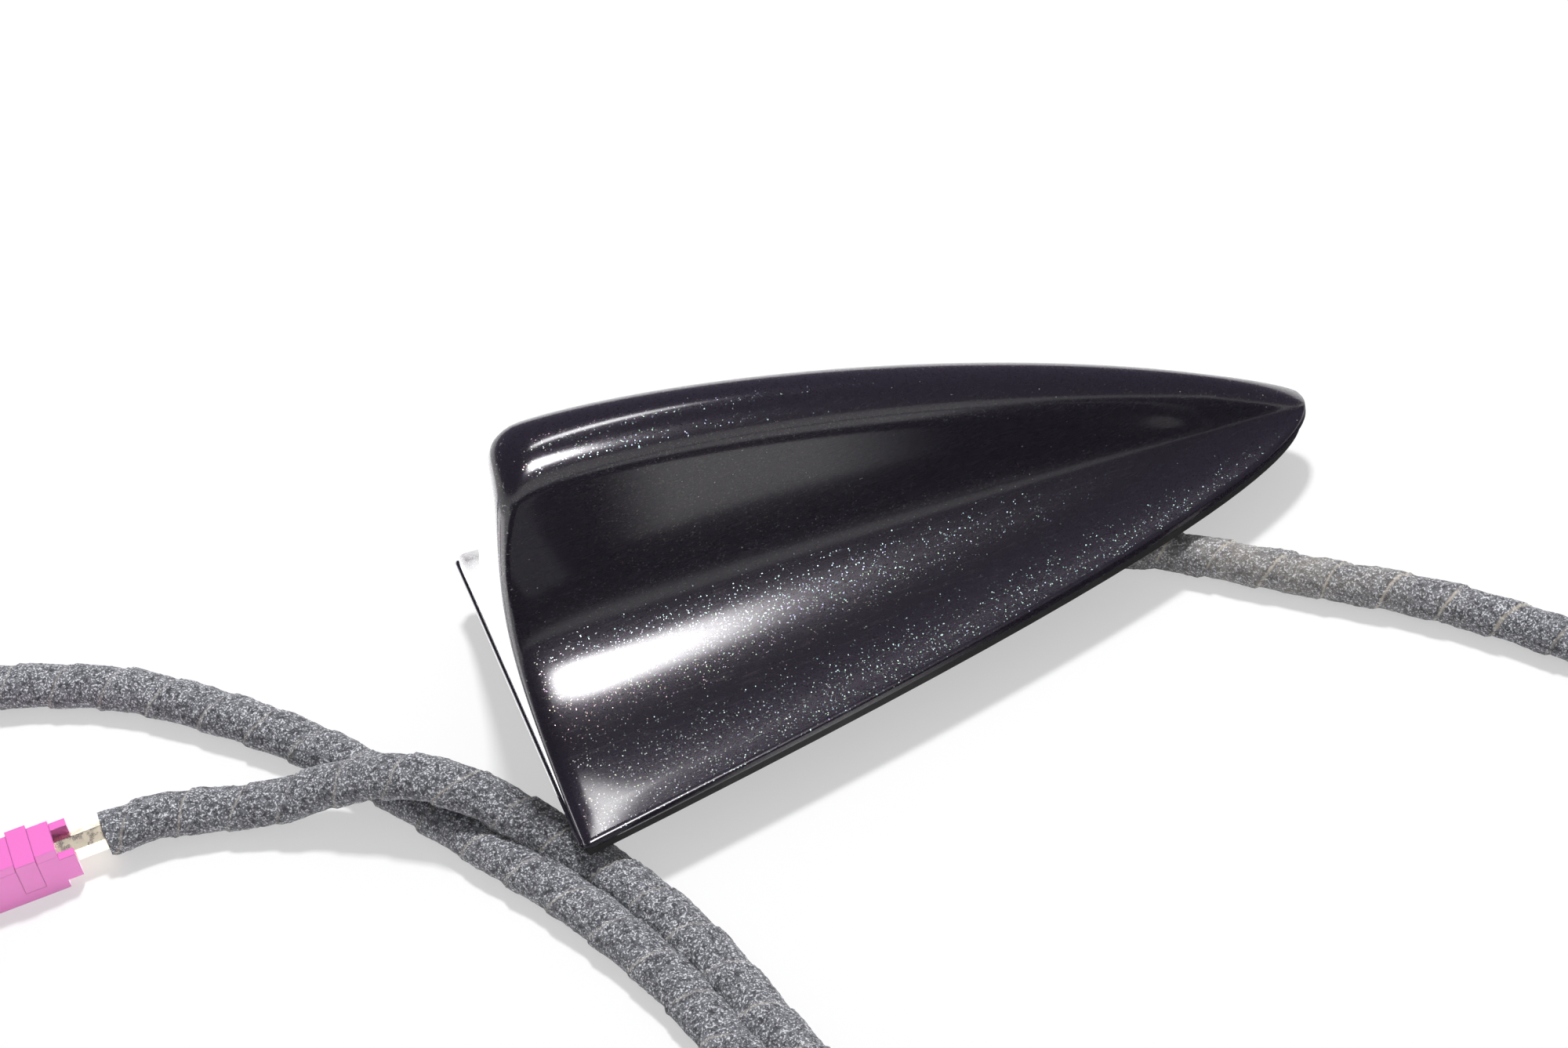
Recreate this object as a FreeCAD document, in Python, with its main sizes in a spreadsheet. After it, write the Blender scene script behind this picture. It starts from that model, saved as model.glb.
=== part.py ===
import FreeCAD
import Part
import Sketcher
import math
import os

# A roof antenna for a car: a painted fin-shaped cover on a cast base with a rubber roof seal,
# the aerial boards inside, and a taped cable harness with two coaxial plugs.
# Millimetres. +X points to the nose, +Z up. The origin is on the fixing stud's axis, at the roof surface.

V = FreeCAD.Vector
doc = FreeCAD.newDocument("roof_antenna")
sheet = doc.addObject("Spreadsheet::Sheet", "sizes")

DRIVING_SIZES = {
    # Cover
    "cover_length": 160.0,
    "cover_width": 78.8,
    "crest_height": 67.3,
    "tail_reach": 68.0,
    "cover_wall": 2.2,
    "lip_height": 1.5,
    "blade_half": 7.5,
    "crest_round": 9.0,
    "flare_power": 4.2,
    "ridge_bow": 1.45,
    "ridge_fall": 0.86,
    "crest_top_back": 14.7,
    "tail_drop": 12.0,
    "tail_bow_radius": 200.0,
    "tail_bow_start": 10.0,
    "tail_edge_round": 2.0,
    "overcut": 1.0,
    # Roof seal
    "seal_thickness": 2.5,
    "seal_inset": 0.8,
    "seal_opening_length": 56.0,
    "seal_opening_width": 32.0,
    "seal_opening_ahead": 6.0,
    "seal_groove_depth": 0.8,
    "seal_groove_inset": 3.0,
    "seal_groove_width": 2.0,
    # Base plate
    "plate_thickness": 3.0,
    "plate_inset": 9.5,
    "plate_tail_inset": 5.0,
    "stud_boss_diameter": 16.0,
    "outlet_ahead": 9.0,
    "outlet_length": 11.0,
    "outlet_width": 20.0,
    "outlet_wall": 1.8,
    "outlet_depth": 9.0,
    "standoff_height": 3.0,
    "standoff_diameter": 6.0,
    # Fixing stud
    "stud_diameter": 6.0,
    "stud_shoulder_diameter": 8.0,
    "stud_reach": 8.5,
    "stud_head_diameter": 13.0,
    "stud_head_thickness": 2.2,
    "stud_clearance": 0.1,
    "stud_tip_cut": 0.6,
    "stud_head_cut": 0.4,
    # Screws that hold the cover to the plate, and the board to its standoffs
    "screw_diameter": 2.5,
    "screw_head_diameter": 4.8,
    "screw_head_height": 1.4,
    "cover_screw_length": 4.6,
    "board_screw_length": 4.0,
    "screw_clearance": 0.15,
    "cover_boss_diameter": 6.4,
    "rear_screw_back": 54.0,
    "rear_screw_side": 24.0,
    "front_screw_ahead": 44.0,
    "front_screw_side": 8.0,
    # Circuit board and what it carries
    "board_back": 56.0,
    "board_ahead": 30.0,
    "board_tail_width": 34.0,
    "board_nose_width": 20.0,
    "board_thickness": 1.6,
    "rear_standoff_back": 50.0,
    "rear_standoff_side": 12.0,
    "front_standoff_ahead": 25.5,
    "front_standoff_side": 6.0,
    "patch_side": 18.0,
    "patch_thickness": 4.0,
    "patch_ahead": 11.0,
    "patch_metal_side": 15.0,
    "patch_metal_thickness": 0.2,
    "patch_corner_cut": 2.0,
    "can_length": 22.0,
    "can_width": 9.0,
    "can_height": 3.0,
    "can_wall": 0.4,
    "can_round": 0.6,
    "can_back": 35.5,
    "can_side": 8.5,
    "aerial_thickness": 1.0,
    "aerial_back": 53.0,
    "aerial_foot": 43.0,
    "aerial_tall": 44.0,
    "aerial_front_tall": 34.0,
    "aerial_top_back": 49.0,
    "aerial_top_ahead": 18.0,
    "lead_diameter": 3.0,
    "lead_spacing": 7.0,
    "lead_wall_gap": 0.7,
    # Cable boot in the outlet
    "boot_clearance": 0.1,
    "boot_top_drop": 1.0,
    "spout_diameter": 9.4,
    "spout_length": 6.5,
    "spout_drop": 4.3,
    "spout_turn": 15.0,
    "spout_clearance": 0.3,
    # Harness
    "trunk_diameter": 7.6,
    "branch_diameter": 7.4,
    "split_half_width": 7.7,
    "split_length": 20.0,
    "branch_gap": 0.1,
    # Plugs
    "plug_length": 24.0,
    "plug_width": 9.4,
    "plug_height": 10.0,
    "plug_edge_cut": 1.0,
    "plug_mouth_diameter": 7.2,
    "plug_mouth_depth": 13.0,
    "plug_lug_length": 3.0,
    "plug_lug_thickness": 1.8,
    "plug_lug_height": 6.0,
    "latch_nose_length": 3.0,
    "latch_nose_width": 4.0,
    "latch_nose_height": 0.8,
    "latch_nose_back": 7.0,
    "latch_nose_root": 0.5,
    "lock_width": 4.0,
    "lock_thickness": 1.2,
    "lock_from_end": 4.0,
    "lock_clearance": 0.05,
    "ferrule_length": 13.0,
    "ferrule_diameter": 5.6,
    "socket_diameter": 5.2,
    "socket_wall": 0.4,
    "socket_reach": 10.0,
    "socket_flange_diameter": 6.4,
    "socket_flange_length": 1.5,
    "socket_clearance": 0.1,
    "core_diameter": 3.0,
    "pin_diameter": 0.9,
}

for row, (name, value) in enumerate(DRIVING_SIZES.items(), start=1):
    sheet.set(f"A{row}", name)
    sheet.set(f"B{row}", str(value))
    sheet.setAlias(f"B{row}", name)
doc.recompute()


def size(name):
    return float(getattr(sheet, name))


# Heights and places that follow from the driving sizes, as expressions on the sheet
DERIVED_SIZES = {
    "rim_level": "seal_thickness",
    "plate_top": "seal_thickness + plate_thickness",
    "board_level": "seal_thickness + plate_thickness + standoff_height",
    "board_top": "seal_thickness + plate_thickness + standoff_height + board_thickness",
    "nose_reach": "cover_length - tail_reach",
    "floor_level": "-outlet_depth",
    "outlet_mid": "outlet_ahead + outlet_length / 2",
    "spout_back": "outlet_ahead + outlet_length - 2 * outlet_wall",
    "spout_run": "spout_length + 2 * outlet_wall",
    "lead_ahead": "outlet_ahead + outlet_wall + lead_wall_gap + lead_diameter / 2",
    "screw_tip": "seal_thickness + screw_head_height + cover_screw_length",
    "plug_lift": "plug_height / 2 - outlet_depth",
}
for row, (name, formula) in enumerate(DERIVED_SIZES.items(), start=len(DRIVING_SIZES) + 1):
    sheet.set(f"A{row}", name)
    sheet.set(f"B{row}", f"={formula}")
    sheet.setAlias(f"B{row}", name)
doc.recompute()


def bind(obj, **formulas):
    """Tie properties to sheet sizes; a double underscore stands for a dot in a property's path."""
    for path, formula in formulas.items():
        obj.setExpression(path.replace("__", "."), formula)
    return obj


def place(obj, x="0", y="0", z="0"):
    return bind(obj, Placement__Base__x=x, Placement__Base__y=y, Placement__Base__z=z)


def box(name, x, y, z, length, width, height):
    """A box from its lowest corner."""
    item = doc.addObject("Part::Box", name)
    bind(item, Length=length, Width=width, Height=height)
    return place(item, x, y, z)


def centred_box(name, x, y, z, length, width, height):
    """A box centred on x and y, standing on z."""
    return box(name, f"{x} - ({length}) / 2", f"{y} - ({width}) / 2", z, length, width, height)


def cylinder(name, x, y, z, diameter, height):
    item = doc.addObject("Part::Cylinder", name)
    bind(item, Radius=f"({diameter}) / 2", Height=height)
    return place(item, x, y, z)


def lying_cylinder(name, x, diameter, length):
    """A cylinder along +X from x, on the local axis."""
    item = doc.addObject("Part::Cylinder", name)
    item.Placement.Rotation = FreeCAD.Rotation(V(0, 1, 0), 90)
    bind(item, Radius=f"({diameter}) / 2", Height=length)
    return place(item, x)


def fuse(name, *items):
    item = doc.addObject("Part::MultiFuse", name)
    item.Shapes = list(items)
    item.Refine = True
    return item


def cut(name, base, *tools):
    item = doc.addObject("Part::Cut", name)
    item.Base = base
    item.Tool = tools[0] if len(tools) == 1 else fuse(name + "_tools", *tools)
    item.Refine = True
    return item


def group(name, items):
    item = doc.addObject("Part::Compound", name)
    item.Links = items
    return item


def solid_feature(name, shape):
    item = doc.addObject("Part::Feature", name)
    item.Shape = shape
    return item


# Sub-parts in the order they are written: node name to document object
nodes = {}


# Cover form

TAIL = -size("tail_reach")
NOSE = size("nose_reach")
RIM = size("rim_level")
CREST = size("crest_height")
HALF_WIDTH = size("cover_width") / 2
LIP_TOP = RIM + size("lip_height")
CREST_TOP_X = TAIL + size("crest_top_back")


def plan_half_width(x):
    """The cover's plan is a parabola with its tip at the nose."""
    return HALF_WIDTH * math.sqrt(max(NOSE - x, 0.0) / (NOSE - TAIL))


def crest_line(x):
    """Height of the ridge: bowed down to the nose, and rounded off to the tail."""
    if x < CREST_TOP_X:
        back = min((CREST_TOP_X - x) / size("crest_top_back"), 1.0)
        return CREST - size("tail_drop") * (1 - math.sqrt(1 - back ** 2))
    ahead = min((x - CREST_TOP_X) / (NOSE - CREST_TOP_X), 1.0)
    return LIP_TOP + (CREST - LIP_TOP) * (1 - ahead ** size("ridge_bow")) ** size("ridge_fall")


FLANK_STEPS = 8
STATIONS = 14
LEAST_RISE = 0.1
BLADE_SHARE = 0.8
CROWN_SHARE = 0.6
NOSE_BLUNT = 0.3


def cross_section(x, inset, foot):
    """Closed outline at x: an upright lip, a hollow flare, a thin blade and a rounded crest."""
    width = plan_half_width(x + inset) - inset
    top = max(crest_line(x + inset) - inset, LIP_TOP + LEAST_RISE)
    blade = size("blade_half") * math.sqrt(plan_half_width(x) / HALF_WIDTH)
    blade = min(blade, BLADE_SHARE * (width + inset)) - inset
    crown = min(size("crest_round"), CROWN_SHARE * (top - LIP_TOP))
    half = []
    for step in range(FLANK_STEPS + 1):
        rise = 1 - (1 - step / FLANK_STEPS) ** 2
        depth = min((1 - rise) * (top - LIP_TOP) / crown, 1.0)
        side = blade * math.sqrt(1 - (1 - depth) ** 2) + (width - blade) * (1 - rise) ** size("flare_power")
        half.append((side, LIP_TOP + rise * (top - LIP_TOP)))
    points = [V(x, -side, z) for side, z in half] + [V(x, side, z) for side, z in reversed(half[:-1])]
    flank = Part.BSplineCurve()
    flank.interpolate(Points=points, Parameters=[float(i) for i in range(len(points))])
    near, far = V(x, -width, foot), V(x, width, foot)
    edges = [
        Part.makeLine(near, points[0]),
        flank.toShape(),
        Part.makeLine(points[-1], far),
        Part.makeLine(far, near),
    ]
    return Part.Wire(edges)


def tail_trim(inset):
    """A prism that trims the form to the tail's gentle forward bow."""
    foot_x = TAIL + inset
    radius = size("tail_bow_radius") - inset
    start = size("tail_bow_start")
    high = CREST + 2 * size("crest_round")
    low = -2 * size("outlet_depth")
    front = NOSE + size("crest_round")

    def bow(z):
        return foot_x + radius - math.sqrt(radius ** 2 - (z - start) ** 2)

    arc = Part.Arc(V(bow(low), 0, low), V(foot_x, 0, start), V(bow(high), 0, high)).toShape()
    corners = [V(bow(high), 0, high), V(front, 0, high), V(front, 0, low), V(bow(low), 0, low)]
    lines = [Part.makeLine(a, b) for a, b in zip(corners, corners[1:])]
    prism = Part.Face(Part.Wire([arc] + lines)).extrude(V(0, 4 * HALF_WIDTH, 0))
    prism.translate(V(0, -2 * HALF_WIDTH, 0))
    return prism


def cover_form(inset, foot):
    """The solid inside the cover's outer skin, drawn in by inset and reaching down to foot."""
    first = TAIL - size("overcut")
    last = NOSE - NOSE_BLUNT - 2 * inset
    wires = []
    for index in range(STATIONS + 1):
        reach = (1 - math.cos(math.pi * index / STATIONS)) / 2
        wires.append(cross_section(first + reach * (last - first), inset, foot))
    return Part.makeLoft(wires, True, False).common(tail_trim(inset)).Solids[0]


def tail_edges(shape):
    """The edges where the tail face meets the flanks and the crest."""
    tail_face = tail_trim(0).Faces[0]
    found = []
    for edge in shape.Edges:
        middle = edge.valueAt((edge.FirstParameter + edge.LastParameter) / 2)
        if tail_face.distToShape(Part.Vertex(middle))[0] < 1e-3 and middle.z > RIM + 1e-3:
            found.append(edge)
    return found


SCREW_PLACES = [
    (-size("rear_screw_back"), size("rear_screw_side")),
    (-size("rear_screw_back"), -size("rear_screw_side")),
    (size("front_screw_ahead"), size("front_screw_side")),
    (size("front_screw_ahead"), -size("front_screw_side")),
]


def make_cover():
    outer = cover_form(0, RIM)
    outer = outer.makeFillet(size("tail_edge_round"), tail_edges(outer))
    cavity = cover_form(size("cover_wall"), RIM - size("cover_wall"))
    plate_top = size("plate_top")
    pilot = size("screw_diameter") / 2 + size("screw_clearance") / 2
    for x, y in SCREW_PLACES:
        foot = V(x, y, plate_top)
        boss = Part.makeCylinder(size("cover_boss_diameter") / 2, CREST, foot)
        cavity = cavity.cut(boss)
    cover = outer.cut(cavity)
    for x, y in SCREW_PLACES:
        depth = size("screw_tip") - plate_top + size("screw_clearance")
        cover = cover.cut(Part.makeCylinder(pilot, depth, V(x, y, plate_top)))
    return solid_feature("fin_cover", cover)


nodes["fin_cover"] = make_cover()


# Plan outlines that follow the cover's parabola

TIP_DRAW = 1.5


def plan_outline(name, inset, tail_inset):
    """A flat face with the cover's plan, drawn in at the sides and the tail."""
    half = HALF_WIDTH - inset
    tail = TAIL + tail_inset
    tip = NOSE - TIP_DRAW * inset
    edges = []
    for first, last in ((V(tail, -half, 0), V(tip, 0, 0)), (V(tip, 0, 0), V(tail, half, 0))):
        curve = Part.BezierCurve()
        curve.setPoles([first, V(tip, (first.y + last.y) / 2, 0), last])
        edges.append(curve.toShape())
    edges.append(Part.makeLine(V(tail, half, 0), V(tail, -half, 0)))
    wire = Part.Wire(edges)
    return solid_feature(name, Part.Face(wire))


def plan_prism(name, inset, tail_inset, level, height):
    outline = plan_outline(name + "_outline", inset, tail_inset)
    prism = doc.addObject("Part::Extrusion", name)
    prism.Base = outline
    prism.DirMode = "Custom"
    prism.Dir = V(0, 0, 1)
    prism.Solid = True
    bind(prism, LengthFwd=height)
    return place(prism, z=level)


# Roof seal: a rubber pad with an opening for the stud and the cable outlet, and a groove between two lips

def make_seal():
    inset = size("seal_inset")
    pad = plan_prism("seal_pad", inset, inset, "0", "sizes.seal_thickness")
    opening = centred_box("seal_opening", "sizes.seal_opening_ahead", "0", "-sizes.overcut",
                          "sizes.seal_opening_length", "sizes.seal_opening_width",
                          "sizes.seal_thickness + 2 * sizes.overcut")
    lip = inset + size("seal_groove_inset")
    inner = lip + size("seal_groove_width")
    groove_outer = plan_prism("groove_outer", lip, lip, "-sizes.overcut",
                              "sizes.seal_groove_depth + sizes.overcut")
    groove_inner = plan_prism("groove_inner", inner, inner, "-2 * sizes.overcut",
                              "sizes.seal_groove_depth + 3 * sizes.overcut")
    groove = cut("seal_groove", groove_outer, groove_inner)
    return cut("roof_seal", pad, opening, groove)


nodes["roof_seal"] = make_seal()


# Base plate: cast, with the stud's boss, the cable outlet's walls and the board's standoffs

STANDOFFS = [
    ("-sizes.rear_standoff_back", "sizes.rear_standoff_side"),
    ("-sizes.rear_standoff_back", "-sizes.rear_standoff_side"),
    ("sizes.front_standoff_ahead", "sizes.front_standoff_side"),
    ("sizes.front_standoff_ahead", "-sizes.front_standoff_side"),
]
COVER_SCREWS = [
    ("-sizes.rear_screw_back", "sizes.rear_screw_side"),
    ("-sizes.rear_screw_back", "-sizes.rear_screw_side"),
    ("sizes.front_screw_ahead", "sizes.front_screw_side"),
    ("sizes.front_screw_ahead", "-sizes.front_screw_side"),
]


def make_plate():
    sheet_metal = plan_prism("plate_blank", size("plate_inset"), size("plate_tail_inset"),
                             "sizes.rim_level", "sizes.plate_thickness")
    boss = cylinder("stud_boss", "0", "0", "0", "sizes.stud_boss_diameter", "sizes.rim_level")
    outlet = centred_box("outlet_walls", "sizes.outlet_mid", "0", "sizes.floor_level", "sizes.outlet_length",
                         "sizes.outlet_width", "sizes.outlet_depth + sizes.rim_level")
    solids = [sheet_metal, boss, outlet]
    holes = [
        cylinder("stud_hole", "0", "0", "-sizes.overcut",
                 "sizes.stud_shoulder_diameter + 2 * sizes.stud_clearance",
                 "sizes.plate_top + 2 * sizes.overcut"),
        centred_box("outlet_passage", "sizes.outlet_mid", "0", "sizes.floor_level - sizes.overcut",
                    "sizes.outlet_length - 2 * sizes.outlet_wall",
                    "sizes.outlet_width - 2 * sizes.outlet_wall",
                    "sizes.outlet_depth + sizes.plate_top + 2 * sizes.overcut"),
        centred_box("outlet_notch", "sizes.outlet_ahead + sizes.outlet_length", "0",
                    "sizes.floor_level - sizes.overcut", "3 * sizes.outlet_wall",
                    "sizes.spout_diameter / cos(sizes.spout_turn * 1 deg) + 4 * sizes.spout_clearance"
                    " + 4 * sizes.outlet_wall * tan(sizes.spout_turn * 1 deg)",
                    "sizes.overcut + sizes.outlet_depth - sizes.spout_drop + sizes.spout_diameter / 2"
                    " + sizes.spout_clearance"),
    ]
    for index, (x, y) in enumerate(STANDOFFS, start=1):
        solids.append(cylinder(f"standoff_{index}", x, y, "sizes.rim_level", "sizes.standoff_diameter",
                               "sizes.plate_thickness + sizes.standoff_height"))
        holes.append(cylinder(f"standoff_bore_{index}", x, y,
                              "sizes.board_top - sizes.board_screw_length - sizes.screw_clearance",
                              "sizes.screw_diameter + sizes.screw_clearance", "sizes.board_screw_length"))
    for index, (x, y) in enumerate(COVER_SCREWS, start=1):
        holes.append(cylinder(f"cover_screw_hole_{index}", x, y, "0",
                              "sizes.screw_diameter + 2 * sizes.screw_clearance",
                              "sizes.plate_top + sizes.overcut"))
        holes.append(cylinder(f"cover_screw_seat_{index}", x, y, "0",
                              "sizes.screw_head_diameter + 2 * sizes.screw_clearance",
                              "sizes.rim_level + sizes.screw_head_height"))
    return cut("base_plate", fuse("plate_casting", *solids), *holes)


nodes["base_plate"] = make_plate()


# Parts turned or milled from a sketch

def new_body(label):
    body = doc.addObject("PartDesign::Body", label)
    body.Label = label
    return body


def origin_sketch(body, name, role):
    sketch = body.newObject("Sketcher::SketchObject", name)
    plane = next(item for item in body.Origin.OriginFeatures if item.Role == role)
    sketch.AttachmentSupport = [(plane, "")]
    sketch.MapMode = "FlatFace"
    return sketch


def polygon(sketch, corners):
    """A closed outline whose corners are pairs of sheet formulas, measured from the sketch's origin."""
    values = [(float(sketch.evalExpression(x)), float(sketch.evalExpression(y))) for x, y in corners]
    first = sketch.GeometryCount
    count = len(values)
    for index, (x, y) in enumerate(values):
        next_x, next_y = values[(index + 1) % count]
        sketch.addGeometry(Part.LineSegment(V(x, y, 0), V(next_x, next_y, 0)), False)
    for index in range(count):
        following = first + (index + 1) % count
        sketch.addConstraint(Sketcher.Constraint("Coincident", first + index, 2, following, 1))
    for index, (x, y) in enumerate(corners):
        for kind, formula, value in (("DistanceX", x, values[index][0]), ("DistanceY", y, values[index][1])):
            number = sketch.addConstraint(Sketcher.Constraint(kind, -1, 1, first + index, 1, value))
            sketch.setExpression(f"Constraints[{number}]", formula)


def rectangle(sketch, x0, x1, y0, y1):
    polygon(sketch, [(x0, y0), (x1, y0), (x1, y1), (x0, y1)])


def circle(sketch, x, y, diameter):
    place_x, place_y = float(sketch.evalExpression(x)), float(sketch.evalExpression(y))
    radius = float(sketch.evalExpression(diameter)) / 2
    item = sketch.addGeometry(Part.Circle(V(place_x, place_y, 0), V(0, 0, 1), radius), False)
    for kind, formula, value in (("DistanceX", x, place_x), ("DistanceY", y, place_y)):
        number = sketch.addConstraint(Sketcher.Constraint(kind, -1, 1, item, 3, value))
        sketch.setExpression(f"Constraints[{number}]", formula)
    number = sketch.addConstraint(Sketcher.Constraint("Diameter", item, 2 * radius))
    sketch.setExpression(f"Constraints[{number}]", diameter)


def pad(body, sketch, height):
    feature = body.newObject("PartDesign::Pad", sketch.Name + "_pad")
    feature.Profile = sketch
    bind(feature, Length=height)
    doc.recompute()
    return feature


def pocket(body, sketch, depth, reverse):
    """A pocket that has to take material away."""
    before = body.Shape.Volume
    feature = body.newObject("PartDesign::Pocket", sketch.Name + "_pocket")
    feature.Profile = sketch
    feature.Reversed = reverse
    bind(feature, Length=depth)
    doc.recompute()
    if body.Shape.Volume >= before:
        raise RuntimeError(f"{feature.Name} cuts nothing")
    return feature


# Fixing stud: a plain shank below the roof line, a shoulder in the plate and a flat head that bears on it

def make_stud():
    body = new_body("fixing_stud")
    sketch = origin_sketch(body, "stud_profile", "XZ_Plane")
    polygon(sketch, [
        ("0", "-sizes.stud_reach"),
        ("sizes.stud_diameter / 2 - sizes.stud_tip_cut", "-sizes.stud_reach"),
        ("sizes.stud_diameter / 2", "-sizes.stud_reach + sizes.stud_tip_cut"),
        ("sizes.stud_diameter / 2", "0"),
        ("sizes.stud_shoulder_diameter / 2", "0"),
        ("sizes.stud_shoulder_diameter / 2", "sizes.plate_top"),
        ("sizes.stud_head_diameter / 2", "sizes.plate_top"),
        ("sizes.stud_head_diameter / 2",
         "sizes.plate_top + sizes.stud_head_thickness - sizes.stud_head_cut"),
        ("sizes.stud_head_diameter / 2 - sizes.stud_head_cut",
         "sizes.plate_top + sizes.stud_head_thickness"),
        ("0", "sizes.plate_top + sizes.stud_head_thickness"),
    ])
    turned = body.newObject("PartDesign::Revolution", "stud_turned")
    turned.Profile = sketch
    turned.ReferenceAxis = (sketch, ["V_Axis"])
    turned.Angle = 360
    return body


nodes["fixing_stud"] = make_stud()


# Screws: cover screws point up into the cover's bosses, board screws point down into the standoffs

def upward_screw(name, x, y):
    head = cylinder(name + "_head", x, y, "sizes.rim_level", "sizes.screw_head_diameter",
                    "sizes.screw_head_height")
    shank = cylinder(name + "_shank", x, y, "sizes.rim_level", "sizes.screw_diameter",
                     "sizes.screw_head_height + sizes.cover_screw_length")
    return fuse(name, head, shank)


def downward_screw(name, x, y):
    head = cylinder(name + "_head", x, y, "sizes.board_top", "sizes.screw_head_diameter",
                    "sizes.screw_head_height")
    shank = cylinder(name + "_shank", x, y, "sizes.board_top - sizes.board_screw_length",
                     "sizes.screw_diameter", "sizes.board_screw_length + sizes.screw_head_height")
    return fuse(name, head, shank)


nodes["cover_screws"] = group("cover_screws", [
    upward_screw(f"cover_screw_{index}", x, y) for index, (x, y) in enumerate(COVER_SCREWS, start=1)])
nodes["board_screws"] = group("board_screws", [
    downward_screw(f"board_screw_{index}", x, y) for index, (x, y) in enumerate(STANDOFFS, start=1)])


# Circuit board

def make_board():
    body = new_body("circuit_board")
    sketch = origin_sketch(body, "board_outline", "XY_Plane")
    polygon(sketch, [
        ("-sizes.board_back", "-sizes.board_tail_width / 2"),
        ("sizes.board_ahead", "-sizes.board_nose_width / 2"),
        ("sizes.board_ahead", "sizes.board_nose_width / 2"),
        ("-sizes.board_back", "sizes.board_tail_width / 2"),
    ])
    for x, y in STANDOFFS:
        circle(sketch, x, y, "sizes.screw_diameter + 2 * sizes.screw_clearance")
    pad(body, sketch, "sizes.board_thickness")
    return place(body, z="sizes.board_level")


nodes["circuit_board"] = make_board()


# Navigation patch: a ceramic tile with a silvered face that has one pair of cut corners

def make_patch():
    body = new_body("patch_tile")
    sketch = origin_sketch(body, "tile_outline", "XY_Plane")
    half = "sizes.patch_side / 2"
    rectangle(sketch, f"-{half}", half, f"-{half}", half)
    pad(body, sketch, "sizes.patch_thickness")
    return place(body, x="sizes.patch_ahead", z="sizes.board_top")


def make_patch_metal():
    body = new_body("patch_metal")
    sketch = origin_sketch(body, "metal_outline", "XY_Plane")
    half = "sizes.patch_metal_side / 2"
    short = "(sizes.patch_metal_side / 2 - sizes.patch_corner_cut)"
    polygon(sketch, [(f"-{half}", f"-{short}"), (f"-{short}", f"-{half}"), (half, f"-{half}"),
                     (half, short), (short, half), (f"-{half}", half)])
    pad(body, sketch, "sizes.patch_metal_thickness")
    return place(body, x="sizes.patch_ahead", z="sizes.board_top + sizes.patch_thickness")


nodes["patch_tile"] = make_patch()
nodes["patch_metal"] = make_patch_metal()


# Amplifier shield: a drawn tin can open at the bottom

def make_can():
    body = new_body("amplifier_shield")
    sketch = origin_sketch(body, "can_outline", "XY_Plane")
    rectangle(sketch, "-sizes.can_length / 2", "sizes.can_length / 2",
              "-sizes.can_width / 2", "sizes.can_width / 2")
    block = pad(body, sketch, "sizes.can_height")
    edges = [f"Edge{i}" for i, edge in enumerate(block.Shape.Edges, start=1)
             if edge.CenterOfMass.z > size("can_height") / 4]
    rounds = body.newObject("PartDesign::Fillet", "can_rounds")
    rounds.Base = (block, edges)
    bind(rounds, Radius="sizes.can_round")
    doc.recompute()
    hollow = origin_sketch(body, "can_hollow", "XY_Plane")
    rectangle(hollow, "-sizes.can_length / 2 + sizes.can_wall", "sizes.can_length / 2 - sizes.can_wall",
              "-sizes.can_width / 2 + sizes.can_wall", "sizes.can_width / 2 - sizes.can_wall")
    pocket(body, hollow, "sizes.can_height - sizes.can_wall", True)
    return place(body, x="-sizes.can_back", y="sizes.can_side", z="sizes.board_top")


nodes["amplifier_shield"] = make_can()


# Telephone aerial: an upright board that stands in the blade of the fin

def make_aerial():
    body = new_body("telephone_aerial")
    sketch = origin_sketch(body, "aerial_outline", "XZ_Plane")
    polygon(sketch, [
        ("-sizes.aerial_back", "sizes.board_top"),
        ("-sizes.aerial_back + sizes.aerial_foot", "sizes.board_top"),
        ("-sizes.aerial_top_ahead", "sizes.board_top + sizes.aerial_front_tall"),
        ("-sizes.aerial_top_back", "sizes.board_top + sizes.aerial_tall"),
    ])
    sheet_pad = pad(body, sketch, "sizes.aerial_thickness")
    sheet_pad.Midplane = True
    return body


nodes["telephone_aerial"] = make_aerial()


# Inner leads from the board down into the cable boot

LEADS = {"telephone_lead": "-sizes.lead_spacing / 2", "navigation_lead": "sizes.lead_spacing / 2"}
for name, side in LEADS.items():
    nodes[name] = cylinder(name, "sizes.lead_ahead", side, "-sizes.boot_top_drop", "sizes.lead_diameter",
                           "sizes.boot_top_drop + sizes.board_level")


# Cable boot: a rubber plug in the outlet with a spout that points forward and to the right

def make_boot():
    gap = "sizes.outlet_wall + sizes.boot_clearance"
    block = centred_box("boot_block", "sizes.outlet_mid", "0", "sizes.floor_level",
                        f"sizes.outlet_length - 2 * ({gap})", f"sizes.outlet_width - 2 * ({gap})",
                        "sizes.outlet_depth - sizes.boot_top_drop")
    spout = doc.addObject("Part::Cylinder", "boot_spout")
    bind(spout, Radius="sizes.spout_diameter / 2", Height="sizes.spout_run")
    turn = FreeCAD.Rotation(V(0, 0, 1), -size("spout_turn"))
    spout.Placement.Rotation = turn.multiply(FreeCAD.Rotation(V(0, 1, 0), 90))
    place(spout, "sizes.spout_back", "0", "-sizes.spout_drop")
    return fuse("cable_boot", block, spout)


nodes["cable_boot"] = make_boot()


# Harness: routes along the surface that the harness lies on, chosen by hand

SPOUT_HEADING = math.radians(-size("spout_turn"))
SPOUT_AXIS = V(math.cos(SPOUT_HEADING), math.sin(SPOUT_HEADING), 0)
SPOUT_END = V(size("spout_back"), 0, -size("spout_drop")) + SPOUT_AXIS * size("spout_run")
SPOUT_LEAD_OUT = 9.0

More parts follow.
